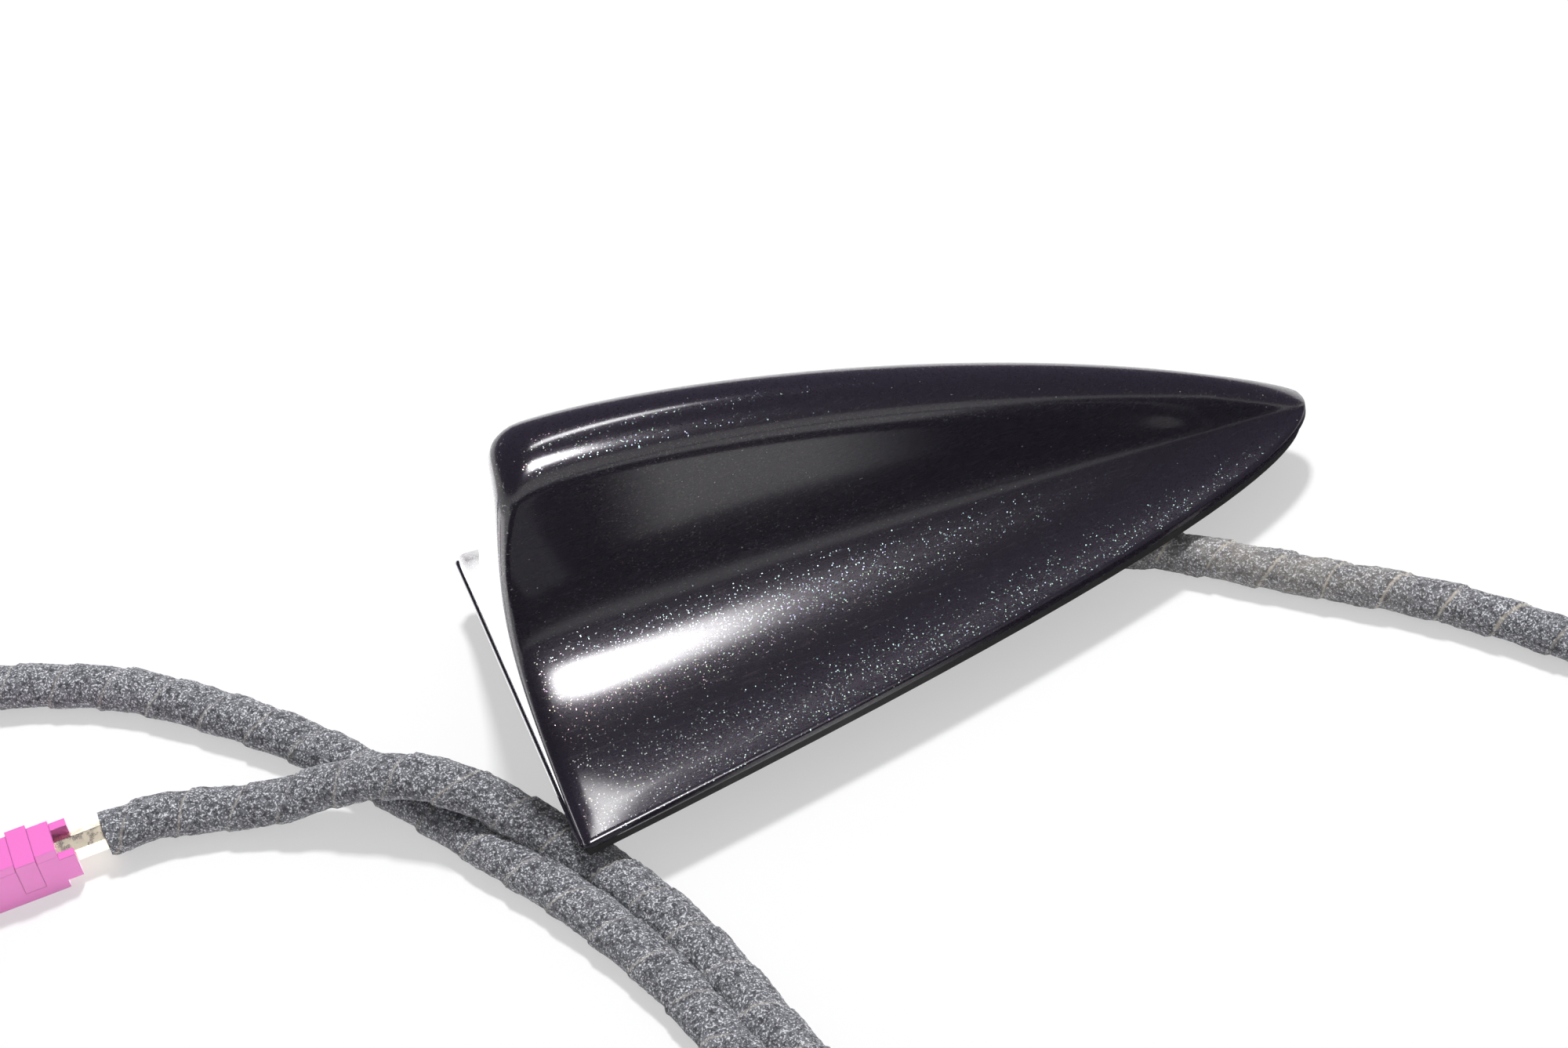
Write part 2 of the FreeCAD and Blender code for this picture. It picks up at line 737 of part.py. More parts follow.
TRUNK_LIE = size("floor_level") + size("trunk_diameter") / 2
BRANCH_LIE = size("floor_level") + size("branch_diameter") / 2
PLUG_LIE = size("plug_lift")
CROSSING_RISE = 8.2
CROSSING_LIE = BRANCH_LIE + CROSSING_RISE

TRUNK_ROUTE = [
    SPOUT_END,
    SPOUT_END + SPOUT_AXIS * SPOUT_LEAD_OUT,
    V(43.2, -8.3, TRUNK_LIE + 0.3),
    V(51.0, -12.5, TRUNK_LIE),
    V(58.0, -17.6, TRUNK_LIE),
    V(66.5, -25.0, TRUNK_LIE),
    V(77.4, -35.0, TRUNK_LIE),
    V(90.8, -46.4, TRUNK_LIE),
    V(103.1, -59.5, TRUNK_LIE),
    V(115.5, -75.5, TRUNK_LIE),
    V(126.5, -98.0, TRUNK_LIE),
    V(132.6, -125.0, TRUNK_LIE),
    V(130.0, -153.0, TRUNK_LIE),
    V(117.5, -178.5, TRUNK_LIE),
    V(95.5, -196.5, TRUNK_LIE),
    V(67.5, -204.0, TRUNK_LIE),
    V(38.0, -203.0, TRUNK_LIE),
    V(10.0, -195.5, TRUNK_LIE),
    V(-12.0, -179.0, TRUNK_LIE),
    V(-28.0, -157.0, TRUNK_LIE),
    V(-37.0, -133.0, TRUNK_LIE),
]
SPLIT_START = TRUNK_ROUTE[-1]
SPLIT_AXIS = (TRUNK_ROUTE[-1] - TRUNK_ROUTE[-2]).normalize()
SPLIT_ACROSS = V(SPLIT_AXIS.y, -SPLIT_AXIS.x, 0)
SPLIT_END = SPLIT_START + SPLIT_AXIS * size("split_length")
BRANCH_STEP = SPLIT_ACROSS * (size("branch_diameter") + size("branch_gap")) / 2
BRANCH_ROOT = V(SPLIT_END.x, SPLIT_END.y, BRANCH_LIE)
BRANCH_LEAD_OUT = SPLIT_AXIS * 15

TELEPHONE_ROUTE = [
    BRANCH_ROOT + BRANCH_STEP,
    BRANCH_ROOT + BRANCH_STEP + BRANCH_LEAD_OUT,
    V(-49.8, -84.0, BRANCH_LIE),
    V(-53.1, -69.0, BRANCH_LIE),
    V(-58.0, -53.5, BRANCH_LIE),
    V(-65.0, -38.2, BRANCH_LIE),
    V(-74.6, -24.6, BRANCH_LIE + 3.6),
    V(-84.0, -14.2, CROSSING_LIE),
    V(-94.0, -6.4, CROSSING_LIE),
    V(-105.0, -0.8, BRANCH_LIE + 5.0),
    V(-116.0, 2.9, BRANCH_LIE + 1.4),
    V(-126.6, 7.6, BRANCH_LIE + 0.3),
    V(-137.0, 10.8, PLUG_LIE),
    V(-147.2, 10.8, PLUG_LIE),
]
NAVIGATION_ROUTE = [
    BRANCH_ROOT - BRANCH_STEP,
    BRANCH_ROOT - BRANCH_STEP + BRANCH_LEAD_OUT,
    V(-58.0, -84.5, BRANCH_LIE),
    V(-61.2, -69.6, BRANCH_LIE),
    V(-66.8, -55.0, BRANCH_LIE),
    V(-72.6, -42.0, BRANCH_LIE),
    V(-79.5, -29.6, BRANCH_LIE),
    V(-85.5, -19.0, BRANCH_LIE),
    V(-91.0, -8.7, BRANCH_LIE),
    V(-97.4, 1.9, BRANCH_LIE),
    V(-105.7, 14.0, BRANCH_LIE),
    V(-115.1, 25.5, BRANCH_LIE),
    V(-125.0, 35.9, BRANCH_LIE),
    V(-134.8, 45.0, BRANCH_LIE),
    V(-146.0, 51.6, BRANCH_LIE),
    V(-157.0, 57.0, BRANCH_LIE + 0.3),
    V(-167.5, 59.6, PLUG_LIE),
    V(-177.5, 59.6, PLUG_LIE),
]


ARC_SHARE = 0.45
OVAL_EXCESS = 0.01


def cord(name, route, diameter):
    """A tube along straight runs joined by tangent arcs, each as large as its two runs allow."""
    edges = []
    radii = []
    start = route[0]
    for before, corner, after in zip(route, route[1:], route[2:]):
        arrive = (corner - before).normalize()
        leave = (after - corner).normalize()
        turn = arrive.getAngle(leave)
        reach = ARC_SHARE * min((corner - before).Length, (after - corner).Length)
        radii.append(reach / math.tan(turn / 2))
        arc_start = corner - arrive * reach
        arc_end = corner + leave * reach
        inward = (leave - arrive).normalize()
        sag = radii[-1] * (1 / math.cos(turn / 2) - 1)
        edges.append(Part.LineSegment(start, arc_start).toShape())
        edges.append(Part.Arc(arc_start, corner + inward * sag, arc_end).toShape())
        start = arc_end
    edges.append(Part.LineSegment(start, route[-1]).toShape())
    path = Part.Wire(edges)
    ring = Part.Wire([Part.makeCircle(diameter / 2, route[0], route[1] - route[0])])
    tube = path.makePipeShell([ring], True, True)
    expected = math.pi * diameter ** 2 / 4 * path.Length
    if abs(tube.Volume / expected - 1) > 0.01:
        raise RuntimeError(f"{name} has volume {tube.Volume:.0f}, not {expected:.0f}")
    print(f"{name}: length {path.Length:.1f}, arc radii", " ".join(f"{radius:.0f}" for radius in radii))
    return solid_feature(name, tube)


nodes["harness_trunk"] = cord("harness_trunk", TRUNK_ROUTE, size("trunk_diameter"))
nodes["telephone_branch"] = cord("telephone_branch", TELEPHONE_ROUTE, size("branch_diameter"))
nodes["navigation_branch"] = cord("navigation_branch", NAVIGATION_ROUTE, size("branch_diameter"))


# Split: the taped joint where the trunk parts into its two branches

def make_split():
    radius = size("trunk_diameter") / 2

    def oval(share, half_width):
        centre = SPLIT_START + SPLIT_AXIS * size("split_length") * share
        ellipse = Part.Ellipse(centre + SPLIT_ACROSS * half_width, centre + V(0, 0, radius), centre)
        return Part.Wire([ellipse.toShape()])

    widest = size("split_half_width")
    ovals = [oval(0, radius + OVAL_EXCESS), oval(0.5, (radius + widest) / 2), oval(1, widest)]
    return solid_feature("harness_split", Part.makeLoft(ovals, True, False))


nodes["harness_split"] = make_split()


# Plugs: each made along its own +X axis from the cable's end, then laid at the end of its branch

def plug_housing(name):
    body = new_body(name)
    start = "(sizes.ferrule_length - sizes.lock_from_end)"
    block = origin_sketch(body, name + "_section", "YZ_Plane")
    half_width, half_height = "sizes.plug_width / 2", "sizes.plug_height / 2"
    short_width = "(sizes.plug_width / 2 - sizes.plug_edge_cut)"
    short_height = "(sizes.plug_height / 2 - sizes.plug_edge_cut)"
    polygon(block, [
        (f"-{half_width}", f"-{half_height}"), (half_width, f"-{half_height}"), (half_width, short_height),
        (short_width, half_height), (f"-{short_width}", half_height), (f"-{half_width}", short_height),
    ])
    bind(block, AttachmentOffset__Base__z=start)
    pad(body, block, "sizes.plug_length")
    for side, sign in (("left", ""), ("right", "-")):
        lug = origin_sketch(body, f"{name}_lug_{side}", "YZ_Plane")
        inner = f"{sign}(sizes.plug_width / 2 - sizes.plug_lug_thickness)"
        outer = f"{sign}sizes.plug_width / 2"
        rectangle(lug, inner, outer, "-sizes.plug_lug_height / 2", "sizes.plug_lug_height / 2")
        bind(lug, AttachmentOffset__Base__z=f"{start} - sizes.plug_lug_length")
        pad(body, lug, "sizes.plug_lug_length + sizes.overcut")
    nose = origin_sketch(body, name + "_latch_nose", "XZ_Plane")
    far = f"({start} + sizes.plug_length - sizes.latch_nose_back)"
    polygon(nose, [
        (f"{far} - sizes.latch_nose_length", "sizes.plug_height / 2 - sizes.latch_nose_root"),
        (far, "sizes.plug_height / 2 - sizes.latch_nose_root"),
        (far, "sizes.plug_height / 2"),
        (f"{far} - sizes.latch_nose_length", "sizes.plug_height / 2 + sizes.latch_nose_height"),
    ])
    nose_pad = pad(body, nose, "sizes.latch_nose_width")
    nose_pad.Midplane = True
    mouth = origin_sketch(body, name + "_mouth", "YZ_Plane")
    circle(mouth, "0", "0", "sizes.plug_mouth_diameter")
    bind(mouth, AttachmentOffset__Base__z=f"{start} + sizes.plug_length")
    pocket(body, mouth, "sizes.plug_mouth_depth", False)
    throat = origin_sketch(body, name + "_throat", "YZ_Plane")
    circle(throat, "0", "0", "sizes.socket_flange_diameter + 2 * sizes.socket_clearance")
    bind(throat, AttachmentOffset__Base__z=f"{start} + sizes.plug_length")
    pocket(body, throat, "sizes.plug_length + sizes.overcut", False)
    slot = origin_sketch(body, name + "_lock_slot", "XY_Plane")
    slot_start = f"({start} + sizes.lock_from_end)"
    rectangle(slot, slot_start, f"{slot_start} + sizes.lock_width", "-sizes.plug_width", "sizes.plug_width")
    bind(slot, AttachmentOffset__Base__z="sizes.plug_height / 2 - sizes.lock_thickness")
    pocket(body, slot, "sizes.plug_height", True)
    for side, sign in (("left", ""), ("right", "-")):
        cheek = origin_sketch(body, f"{name}_lock_cheek_{side}", "XY_Plane")
        rectangle(cheek, slot_start, f"{slot_start} + sizes.lock_width",
                  f"{sign}(sizes.plug_width / 2 - sizes.lock_thickness)", f"{sign}sizes.plug_width")
        bind(cheek, AttachmentOffset__Base__z="-sizes.plug_height / 4")
        pocket(body, cheek, "sizes.plug_height", True)
    return body


def plug_lock(name):
    """A clip that lies flush in the housing's slot, over its top and down both cheeks."""
    start = "(sizes.ferrule_length + sizes.lock_clearance)"
    width = "sizes.lock_width - 2 * sizes.lock_clearance"
    outer = box(name + "_outer", start, "-sizes.plug_width / 2",
                "-sizes.plug_height / 4 + sizes.lock_clearance", width, "sizes.plug_width",
                "0.75 * sizes.plug_height - sizes.lock_clearance")
    gap = "sizes.plug_width - 2 * sizes.lock_thickness + 2 * sizes.lock_clearance"
    inner = box(name + "_inner", f"{start} - sizes.overcut", f"-({gap}) / 2", "-sizes.plug_height",
                f"{width} + 2 * sizes.overcut", gap,
                "1.5 * sizes.plug_height - sizes.lock_thickness + sizes.lock_clearance")
    return cut(name, outer, inner)


def plug_ferrule(name):
    """The crimped tube that holds the cable's screen to the socket."""
    tube = doc.addObject("Part::Prism", name + "_hexagon")
    tube.Polygon = 6
    tube.Placement.Rotation = FreeCAD.Rotation(V(0, 1, 0), 90)
    bind(tube, Circumradius="sizes.ferrule_diameter / 2", Height="sizes.ferrule_length")
    bore = lying_cylinder(name + "_bore", "-sizes.overcut",
                          "sizes.core_diameter + 2 * sizes.socket_clearance",
                          "sizes.ferrule_length + 2 * sizes.overcut")
    return cut(name, tube, bore)


def plug_socket(name):
    """The metal socket: a flange against the ferrule and a thin tube towards the mouth."""
    flange = lying_cylinder(name + "_flange", "sizes.ferrule_length", "sizes.socket_flange_diameter",
                            "sizes.socket_flange_length")
    tube = lying_cylinder(name + "_tube", "sizes.ferrule_length", "sizes.socket_diameter",
                          "sizes.socket_flange_length + sizes.socket_reach")
    bore = lying_cylinder(name + "_mouth", "sizes.ferrule_length + sizes.socket_flange_length",
                          "sizes.socket_diameter - 2 * sizes.socket_wall",
                          "sizes.socket_reach + sizes.overcut")
    core = lying_cylinder(name + "_core_hole", "sizes.ferrule_length - sizes.overcut",
                          "sizes.core_diameter + 2 * sizes.socket_clearance",
                          "sizes.socket_flange_length + 2 * sizes.overcut")
    return cut(name, fuse(name + "_turned", flange, tube), bore, core)


def plug_core(name):
    """The cable's bared insulation, which runs from the branch into the socket."""
    core = lying_cylinder(name + "_rod", "0", "sizes.core_diameter",
                          "sizes.ferrule_length + sizes.socket_flange_length + sizes.socket_reach / 2")
    hole = lying_cylinder(name + "_hole", "sizes.ferrule_length", "sizes.pin_diameter",
                          "sizes.socket_flange_length + sizes.socket_reach")
    return cut(name, core, hole)


def plug_pin(name):
    return lying_cylinder(name, "sizes.ferrule_length", "sizes.pin_diameter",
                          "sizes.socket_flange_length + 0.9 * sizes.socket_reach")


PLUG_PIECES = {
    "plug_housing": plug_housing,
    "plug_lock": plug_lock,
    "plug_ferrule": plug_ferrule,
    "plug_socket": plug_socket,
    "plug_core": plug_core,
    "plug_pin": plug_pin,
}


def lay_plug(word, route):
    """Make a plug's pieces and lay them on the line of the route's last run."""
    end, before = route[-1], route[-2]
    heading = math.degrees(math.atan2(end.y - before.y, end.x - before.x))
    lie = FreeCAD.Placement(end, FreeCAD.Rotation(V(0, 0, 1), heading))
    for piece, maker in PLUG_PIECES.items():
        name = f"{word}_{piece}"
        nodes[name] = group(name, [maker(f"{name}_model")])
        nodes[name].Placement = lie


lay_plug("telephone", TELEPHONE_ROUTE)
lay_plug("navigation", NAVIGATION_ROUTE)


# Check every piece, then write it

doc.recompute()
for item in doc.Objects:
    if "Invalid" in item.State or "Error" in item.State:
        raise RuntimeError(f"{item.Name} failed: {item.State}")
for name, item in nodes.items():
    if item.Shape.isNull() or not item.Shape.isValid() or not item.Shape.Solids:
        raise RuntimeError(f"{name} has no valid solid")

os.makedirs("parts", exist_ok=True)
for name, item in nodes.items():
    item.Shape.exportStep(f"parts/{name}.step")
    print(f"{name}: {len(item.Shape.Solids)} solid(s), {item.Shape.Volume:.1f} mm3")
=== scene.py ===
import math

import bpy
from mathutils import Matrix, Vector


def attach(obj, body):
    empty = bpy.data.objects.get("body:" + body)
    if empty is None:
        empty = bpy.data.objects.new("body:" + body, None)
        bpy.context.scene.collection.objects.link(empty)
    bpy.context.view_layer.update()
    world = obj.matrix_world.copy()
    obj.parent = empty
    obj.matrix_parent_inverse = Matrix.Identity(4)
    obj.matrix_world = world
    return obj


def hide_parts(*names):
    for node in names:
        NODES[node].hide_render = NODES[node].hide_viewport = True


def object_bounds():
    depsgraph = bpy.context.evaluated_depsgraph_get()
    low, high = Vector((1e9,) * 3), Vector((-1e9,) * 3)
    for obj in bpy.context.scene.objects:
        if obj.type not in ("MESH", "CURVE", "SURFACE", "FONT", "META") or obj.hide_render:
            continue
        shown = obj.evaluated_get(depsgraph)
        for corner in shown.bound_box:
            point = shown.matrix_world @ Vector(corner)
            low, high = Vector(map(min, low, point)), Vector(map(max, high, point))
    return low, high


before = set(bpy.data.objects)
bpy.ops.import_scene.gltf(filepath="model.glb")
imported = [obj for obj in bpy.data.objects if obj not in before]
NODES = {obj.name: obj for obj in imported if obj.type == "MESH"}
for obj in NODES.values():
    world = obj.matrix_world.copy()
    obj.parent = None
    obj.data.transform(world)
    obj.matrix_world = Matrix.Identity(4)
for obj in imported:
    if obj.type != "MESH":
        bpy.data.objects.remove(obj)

# A car's roof antenna: a gloss black fin on a rubber seal, with a taped cable harness and two coaxial plugs.
# The part's lengths are millimetres in its own frame. Meshes, curves and the studio are in metres.

bl_info = {
    "name": "Roof antenna",
    "version": (1, 0, 0),
    "blender": (4, 5, 0),
    "location": "View3D > Sidebar > Antenna",
    "description": "Finishes, harness and studio for a fin-shaped roof antenna",
    "category": "Object",
}

CAD_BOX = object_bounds()
BODY = "root"
MM = 0.001


# Sizes of the cover

TAIL = -68.0
NOSE = 92.0
RIM = 2.5
LIP_TOP = 4.0
CREST = 67.3
HALF_WIDTH = 39.4
BLADE_HALF = 7.5
CREST_ROUND = 9.0
FLARE_POWER = 4.2
RIDGE_BOW = 1.45
RIDGE_FALL = 0.86
CREST_TOP_BACK = 14.7
CREST_TOP_X = TAIL + CREST_TOP_BACK
TAIL_DROP = 12.0
TAIL_BOW_RADIUS = 200.0
TAIL_BOW_START = 10.0
SKIN_THICKNESS = 0.6
LIP_ROUND = 0.8
LEAST_HEIGHT = 0.1
BLADE_SHARE = 0.8
CROWN_SHARE = 0.6
FIRST_STEP = 0.4
FIRST_STEP_SHARE = 0.2
NOSE_FLAT = 0.05

# Rounding of the tail's edge, and the levels of the outline over which it grows

FLANK_EDGE_ROUND = 2.0
CREST_EDGE_ROUND = 5.0
EDGE_GROWS_FROM = 1.4
EDGE_GROWS_TO = 1.8

# Fineness of the cover's mesh

LIP_LEVELS = (0.0, 0.25, 0.5, 0.625, 0.75, 0.875, 1.0)
UPRIGHT_LEVELS = 3
FLANK_LEVELS = 70
STATIONS = 150
EDGE_STEPS = 8
TAIL_COLUMNS = 10
CORNER_ROUNDS = 12


# Harness: the corners of each cable's route, and its thickness

TRUNK_LIE = -5.2
BRANCH_LIE = -5.3
PLUG_LIE = -4.0
CROSSING_LIE = 2.9
TRUNK_DIAMETER = 7.6
BRANCH_DIAMETER = 7.4
SPLIT_LENGTH = 20.0
BRANCH_GAP = 0.1
BRANCH_LEAD_OUT = 15.0
SPOUT_TURN = math.radians(-15.0)
SPOUT_AXIS = Vector((math.cos(SPOUT_TURN), math.sin(SPOUT_TURN), 0))
SPOUT_END = Vector((16.4, 0, -4.3)) + SPOUT_AXIS * 10.1

TRUNK_ROUTE = [
    SPOUT_END,
    SPOUT_END + SPOUT_AXIS * 9.0,
    Vector((43.2, -8.3, TRUNK_LIE + 0.3)),
    Vector((51.0, -12.5, TRUNK_LIE)),
    Vector((58.0, -17.6, TRUNK_LIE)),
    Vector((66.5, -25.0, TRUNK_LIE)),
    Vector((77.4, -35.0, TRUNK_LIE)),
    Vector((90.8, -46.4, TRUNK_LIE)),
    Vector((103.1, -59.5, TRUNK_LIE)),
    Vector((115.5, -75.5, TRUNK_LIE)),
    Vector((126.5, -98.0, TRUNK_LIE)),
    Vector((132.6, -125.0, TRUNK_LIE)),
    Vector((130.0, -153.0, TRUNK_LIE)),
    Vector((117.5, -178.5, TRUNK_LIE)),
    Vector((95.5, -196.5, TRUNK_LIE)),
    Vector((67.5, -204.0, TRUNK_LIE)),
    Vector((38.0, -203.0, TRUNK_LIE)),
    Vector((10.0, -195.5, TRUNK_LIE)),
    Vector((-12.0, -179.0, TRUNK_LIE)),
    Vector((-28.0, -157.0, TRUNK_LIE)),
    Vector((-37.0, -133.0, TRUNK_LIE)),
]
SPLIT_AXIS = (TRUNK_ROUTE[-1] - TRUNK_ROUTE[-2]).normalized()
SPLIT_END = TRUNK_ROUTE[-1] + SPLIT_AXIS * SPLIT_LENGTH
BRANCH_STEP = Vector((SPLIT_AXIS.y, -SPLIT_AXIS.x, 0)) * (BRANCH_DIAMETER + BRANCH_GAP) / 2
BRANCH_ROOT = Vector((SPLIT_END.x, SPLIT_END.y, BRANCH_LIE))

TELEPHONE_ROUTE = [
    BRANCH_ROOT + BRANCH_STEP,
    BRANCH_ROOT + BRANCH_STEP + SPLIT_AXIS * BRANCH_LEAD_OUT,
    Vector((-49.8, -84.0, BRANCH_LIE)),
    Vector((-53.1, -69.0, BRANCH_LIE)),
    Vector((-58.0, -53.5, BRANCH_LIE)),
    Vector((-65.0, -38.2, BRANCH_LIE)),
    Vector((-74.6, -24.6, BRANCH_LIE + 3.6)),
    Vector((-84.0, -14.2, CROSSING_LIE)),
    Vector((-94.0, -6.4, CROSSING_LIE)),
    Vector((-105.0, -0.8, BRANCH_LIE + 5.0)),
    Vector((-116.0, 2.9, BRANCH_LIE + 1.4)),
    Vector((-126.6, 7.6, BRANCH_LIE + 0.3)),
    Vector((-137.0, 10.8, PLUG_LIE)),
    Vector((-147.2, 10.8, PLUG_LIE)),
]
NAVIGATION_ROUTE = [
    BRANCH_ROOT - BRANCH_STEP,
    BRANCH_ROOT - BRANCH_STEP + SPLIT_AXIS * BRANCH_LEAD_OUT,
    Vector((-58.0, -84.5, BRANCH_LIE)),
    Vector((-61.2, -69.6, BRANCH_LIE)),
    Vector((-66.8, -55.0, BRANCH_LIE)),
    Vector((-72.6, -42.0, BRANCH_LIE)),
    Vector((-79.5, -29.6, BRANCH_LIE)),
    Vector((-85.5, -19.0, BRANCH_LIE)),
    Vector((-91.0, -8.7, BRANCH_LIE)),
    Vector((-97.4, 1.9, BRANCH_LIE)),
    Vector((-105.7, 14.0, BRANCH_LIE)),
    Vector((-115.1, 25.5, BRANCH_LIE)),
    Vector((-125.0, 35.9, BRANCH_LIE)),
    Vector((-134.8, 45.0, BRANCH_LIE)),
    Vector((-146.0, 51.6, BRANCH_LIE)),
    Vector((-157.0, 57.0, BRANCH_LIE + 0.3)),
    Vector((-167.5, 59.6, PLUG_LIE)),
    Vector((-177.5, 59.6, PLUG_LIE)),
]

PLUG_PARTS = ("housing", "lock", "ferrule", "socket", "core", "pin")
ARC_SHARE = 0.45
EDGE_SAMPLES = 4


# Kinds of setting

def colour(name, description, default):
    return bpy.props.FloatVectorProperty(name=name, description=description, subtype="COLOR", size=4,
                                         min=0.0, max=1.0, default=default)


def distance(name, description, default):
    return bpy.props.FloatProperty(name=name, description=description, subtype="DISTANCE", precision=5,
                                   min=0.0, default=default * MM)


def portion(name, description, default):
    return bpy.props.FloatProperty(name=name, description=description, subtype="FACTOR", min=0.0, max=1.0,
                                   default=default)


def amount(name, description, default):
    return bpy.props.FloatProperty(name=name, description=description, min=0.0, default=default)


# Shader arithmetic

class Wire:
    """One node output, with arithmetic that adds Math nodes to its tree."""

    def __init__(self, tree, socket):
        self.tree = tree
        self.socket = socket

    def node(self, kind, inputs=None, output=0, **settings):
        """Add a node of any kind, set it, and feed its inputs from wires or plain values."""
        made = self.tree.nodes.new(kind)
        for name, value in settings.items():
            setattr(made, name, value)
        for key, value in (inputs or {}).items():
            if isinstance(value, Wire):
                self.tree.links.new(value.socket, made.inputs[key])
            else:
                made.inputs[key].default_value = value
        return Wire(self.tree, made.outputs[output])

    def maths(self, operation, *values):
        return self.node("ShaderNodeMath", dict(enumerate(values)), operation=operation)

    def __add__(self, other):
        return self.maths("ADD", self, other)

    def __radd__(self, other):
        return self.maths("ADD", other, self)

    def __sub__(self, other):
        return self.maths("SUBTRACT", self, other)

    def __rsub__(self, other):
        return self.maths("SUBTRACT", other, self)

    def __mul__(self, other):
        return self.maths("MULTIPLY", self, other)

    def __rmul__(self, other):
        return self.maths("MULTIPLY", other, self)

    def __truediv__(self, other):
        return self.maths("DIVIDE", self, other)

    def __rtruediv__(self, other):
        return self.maths("DIVIDE", other, self)

    def over(self, other):
        """The larger of two values."""
        return self.maths("MAXIMUM", self, other)

    def fraction(self):
        return self.maths("FRACT", self)

    def ramp(self, low, high, start=0.0, end=1.0):
        """A smooth step from start at low to end at high."""
        inputs = {"Value": self, "From Min": low, "From Max": high, "To Min": start, "To Max": end}
        return self.node("ShaderNodeMapRange", inputs, interpolation_type="SMOOTHSTEP")

    def noise(self, scale, detail=2.0, roughness=0.5):
        """Noise over this vector, about 0 to 1."""
        inputs = {"Vector": self, "Scale": scale, "Detail": detail, "Roughness": roughness}
        return self.node("ShaderNodeTexNoise", inputs)

    def parts(self):
        """The three components of a vector."""
        split = self.node("ShaderNodeSeparateXYZ", {0: self}).socket.node
        return [Wire(self.tree, output) for output in split.outputs]

    def between(self, low, high):
        """The colour at this share of the way from low to high."""
        return self.node("ShaderNodeMix", {0: self, 6: low, 7: high}, output=2, data_type="RGBA")

    def bump(self, strength, depth, **more):
        inputs = {"Strength": strength, "Distance": depth, "Height": self, **more}
        return self.node("ShaderNodeBump", inputs)

    def store(self, name, value):
        """This geometry with a named number on each point."""
        inputs = {"Geometry": self, "Name": name, "Value": value}
        return self.node("GeometryNodeStoreNamedAttribute", inputs, data_type="FLOAT", domain="POINT")

    def fetch(self, name):
        return self.node("GeometryNodeInputNamedAttribute", {"Name": name}, data_type="FLOAT")

    def into(self, shader, name):
        self.tree.links.new(self.socket, shader.inputs[name])


def grey(value):
    return (value, value, value, 1.0)


def new_material(name, **constants):
    """A material, its surface shader, and a wire with the object's own coordinates in metres."""
    material = bpy.data.materials.new(name)
    material.use_nodes = True
    tree = material.node_tree
    shader = next(node for node in tree.nodes if node.type == "BSDF_PRINCIPLED")
    for socket, value in constants.items():
        shader.inputs[socket.replace("_", " ").title().replace("Ior", "IOR")].default_value = value
    coordinates = tree.nodes.new("ShaderNodeTexCoord")
    return material, shader, Wire(tree, coordinates.outputs["Object"])


def dress(node, material):
    """Give one CAD node a material."""
    data = NODES[node].data
    data.materials.clear()
    data.materials.append(material)


def soft_edges(place, radius):
    """A normal that rounds off the look of a piece's edges."""
    return place.node("ShaderNodeBevel", {"Radius": radius * MM}, samples=EDGE_SAMPLES)


# Cover

def plan_half_width(x):
    return HALF_WIDTH * math.sqrt(max(NOSE - x, 0.0) / (NOSE - TAIL))


def crest_line(x):
    if x < CREST_TOP_X:
        back = min((CREST_TOP_X - x) / CREST_TOP_BACK, 1.0)
        return CREST - TAIL_DROP * (1 - math.sqrt(1 - back ** 2))
    ahead = min((x - CREST_TOP_X) / (NOSE - CREST_TOP_X), 1.0)
    return LIP_TOP + (CREST - LIP_TOP) * (1 - ahead ** RIDGE_BOW) ** RIDGE_FALL


def flank_point(x, rise):
    """Half width and height on the flank at x, where rise runs from 0 at the lip to 1 on the crest."""
    width = plan_half_width(x)
    tall = max(crest_line(x) - LIP_TOP, LEAST_HEIGHT)
    blade = min(BLADE_HALF * math.sqrt(width / HALF_WIDTH), BLADE_SHARE * width)
    crown = min(CREST_ROUND, CROWN_SHARE * tall)
    depth = min((1 - rise) * tall / crown, 1.0)
    side = blade * math.sqrt(1 - (1 - depth) ** 2) + (width - blade) * (1 - rise) ** FLARE_POWER
    return side, LIP_TOP + rise * tall


def outline(x, level):
    """Half width and height on the whole outline: the lip's foot at 0, its round at 1, the crest at 2."""
    width = plan_half_width(x)
    tall = max(crest_line(x) - LIP_TOP, LEAST_HEIGHT)
    first_rise = min(FIRST_STEP / tall, FIRST_STEP_SHARE)
    if level <= 0.5:
        return width, RIM + (LIP_TOP - LIP_ROUND - RIM) * level * 2
    side, height = flank_point(x, first_rise)
    if level <= 1:
        share = level * 2 - 1
        low = Vector((width, LIP_TOP - LIP_ROUND))
        corner = Vector((width, LIP_TOP))
        turned = low.lerp(corner, share).lerp(corner.lerp(Vector((side, height)), share), share)
        return turned.x, turned.y
    rise = 1 - (2 - level) ** 2
    return flank_point(x, first_rise + (1 - first_rise) * rise)


def tail_bow(z):
    return TAIL + TAIL_BOW_RADIUS - math.sqrt(TAIL_BOW_RADIUS ** 2 - (z - TAIL_BOW_START) ** 2)


def tail_corner(level):
    """Where the outline at this level meets the bowed tail."""
    x = TAIL
    for _ in range(CORNER_ROUNDS):
        side, z = outline(x, level)
        x = tail_bow(z)
    return Vector((x, side, z))


def tail_round(level):
    """How far the tail's edge is rounded: little on the flank, more on the crest."""
    climb = min(max((level - EDGE_GROWS_FROM) / (EDGE_GROWS_TO - EDGE_GROWS_FROM), 0.0), 1.0)
    return FLANK_EDGE_ROUND + (CREST_EDGE_ROUND - FLANK_EDGE_ROUND) * climb * climb * (3 - 2 * climb)


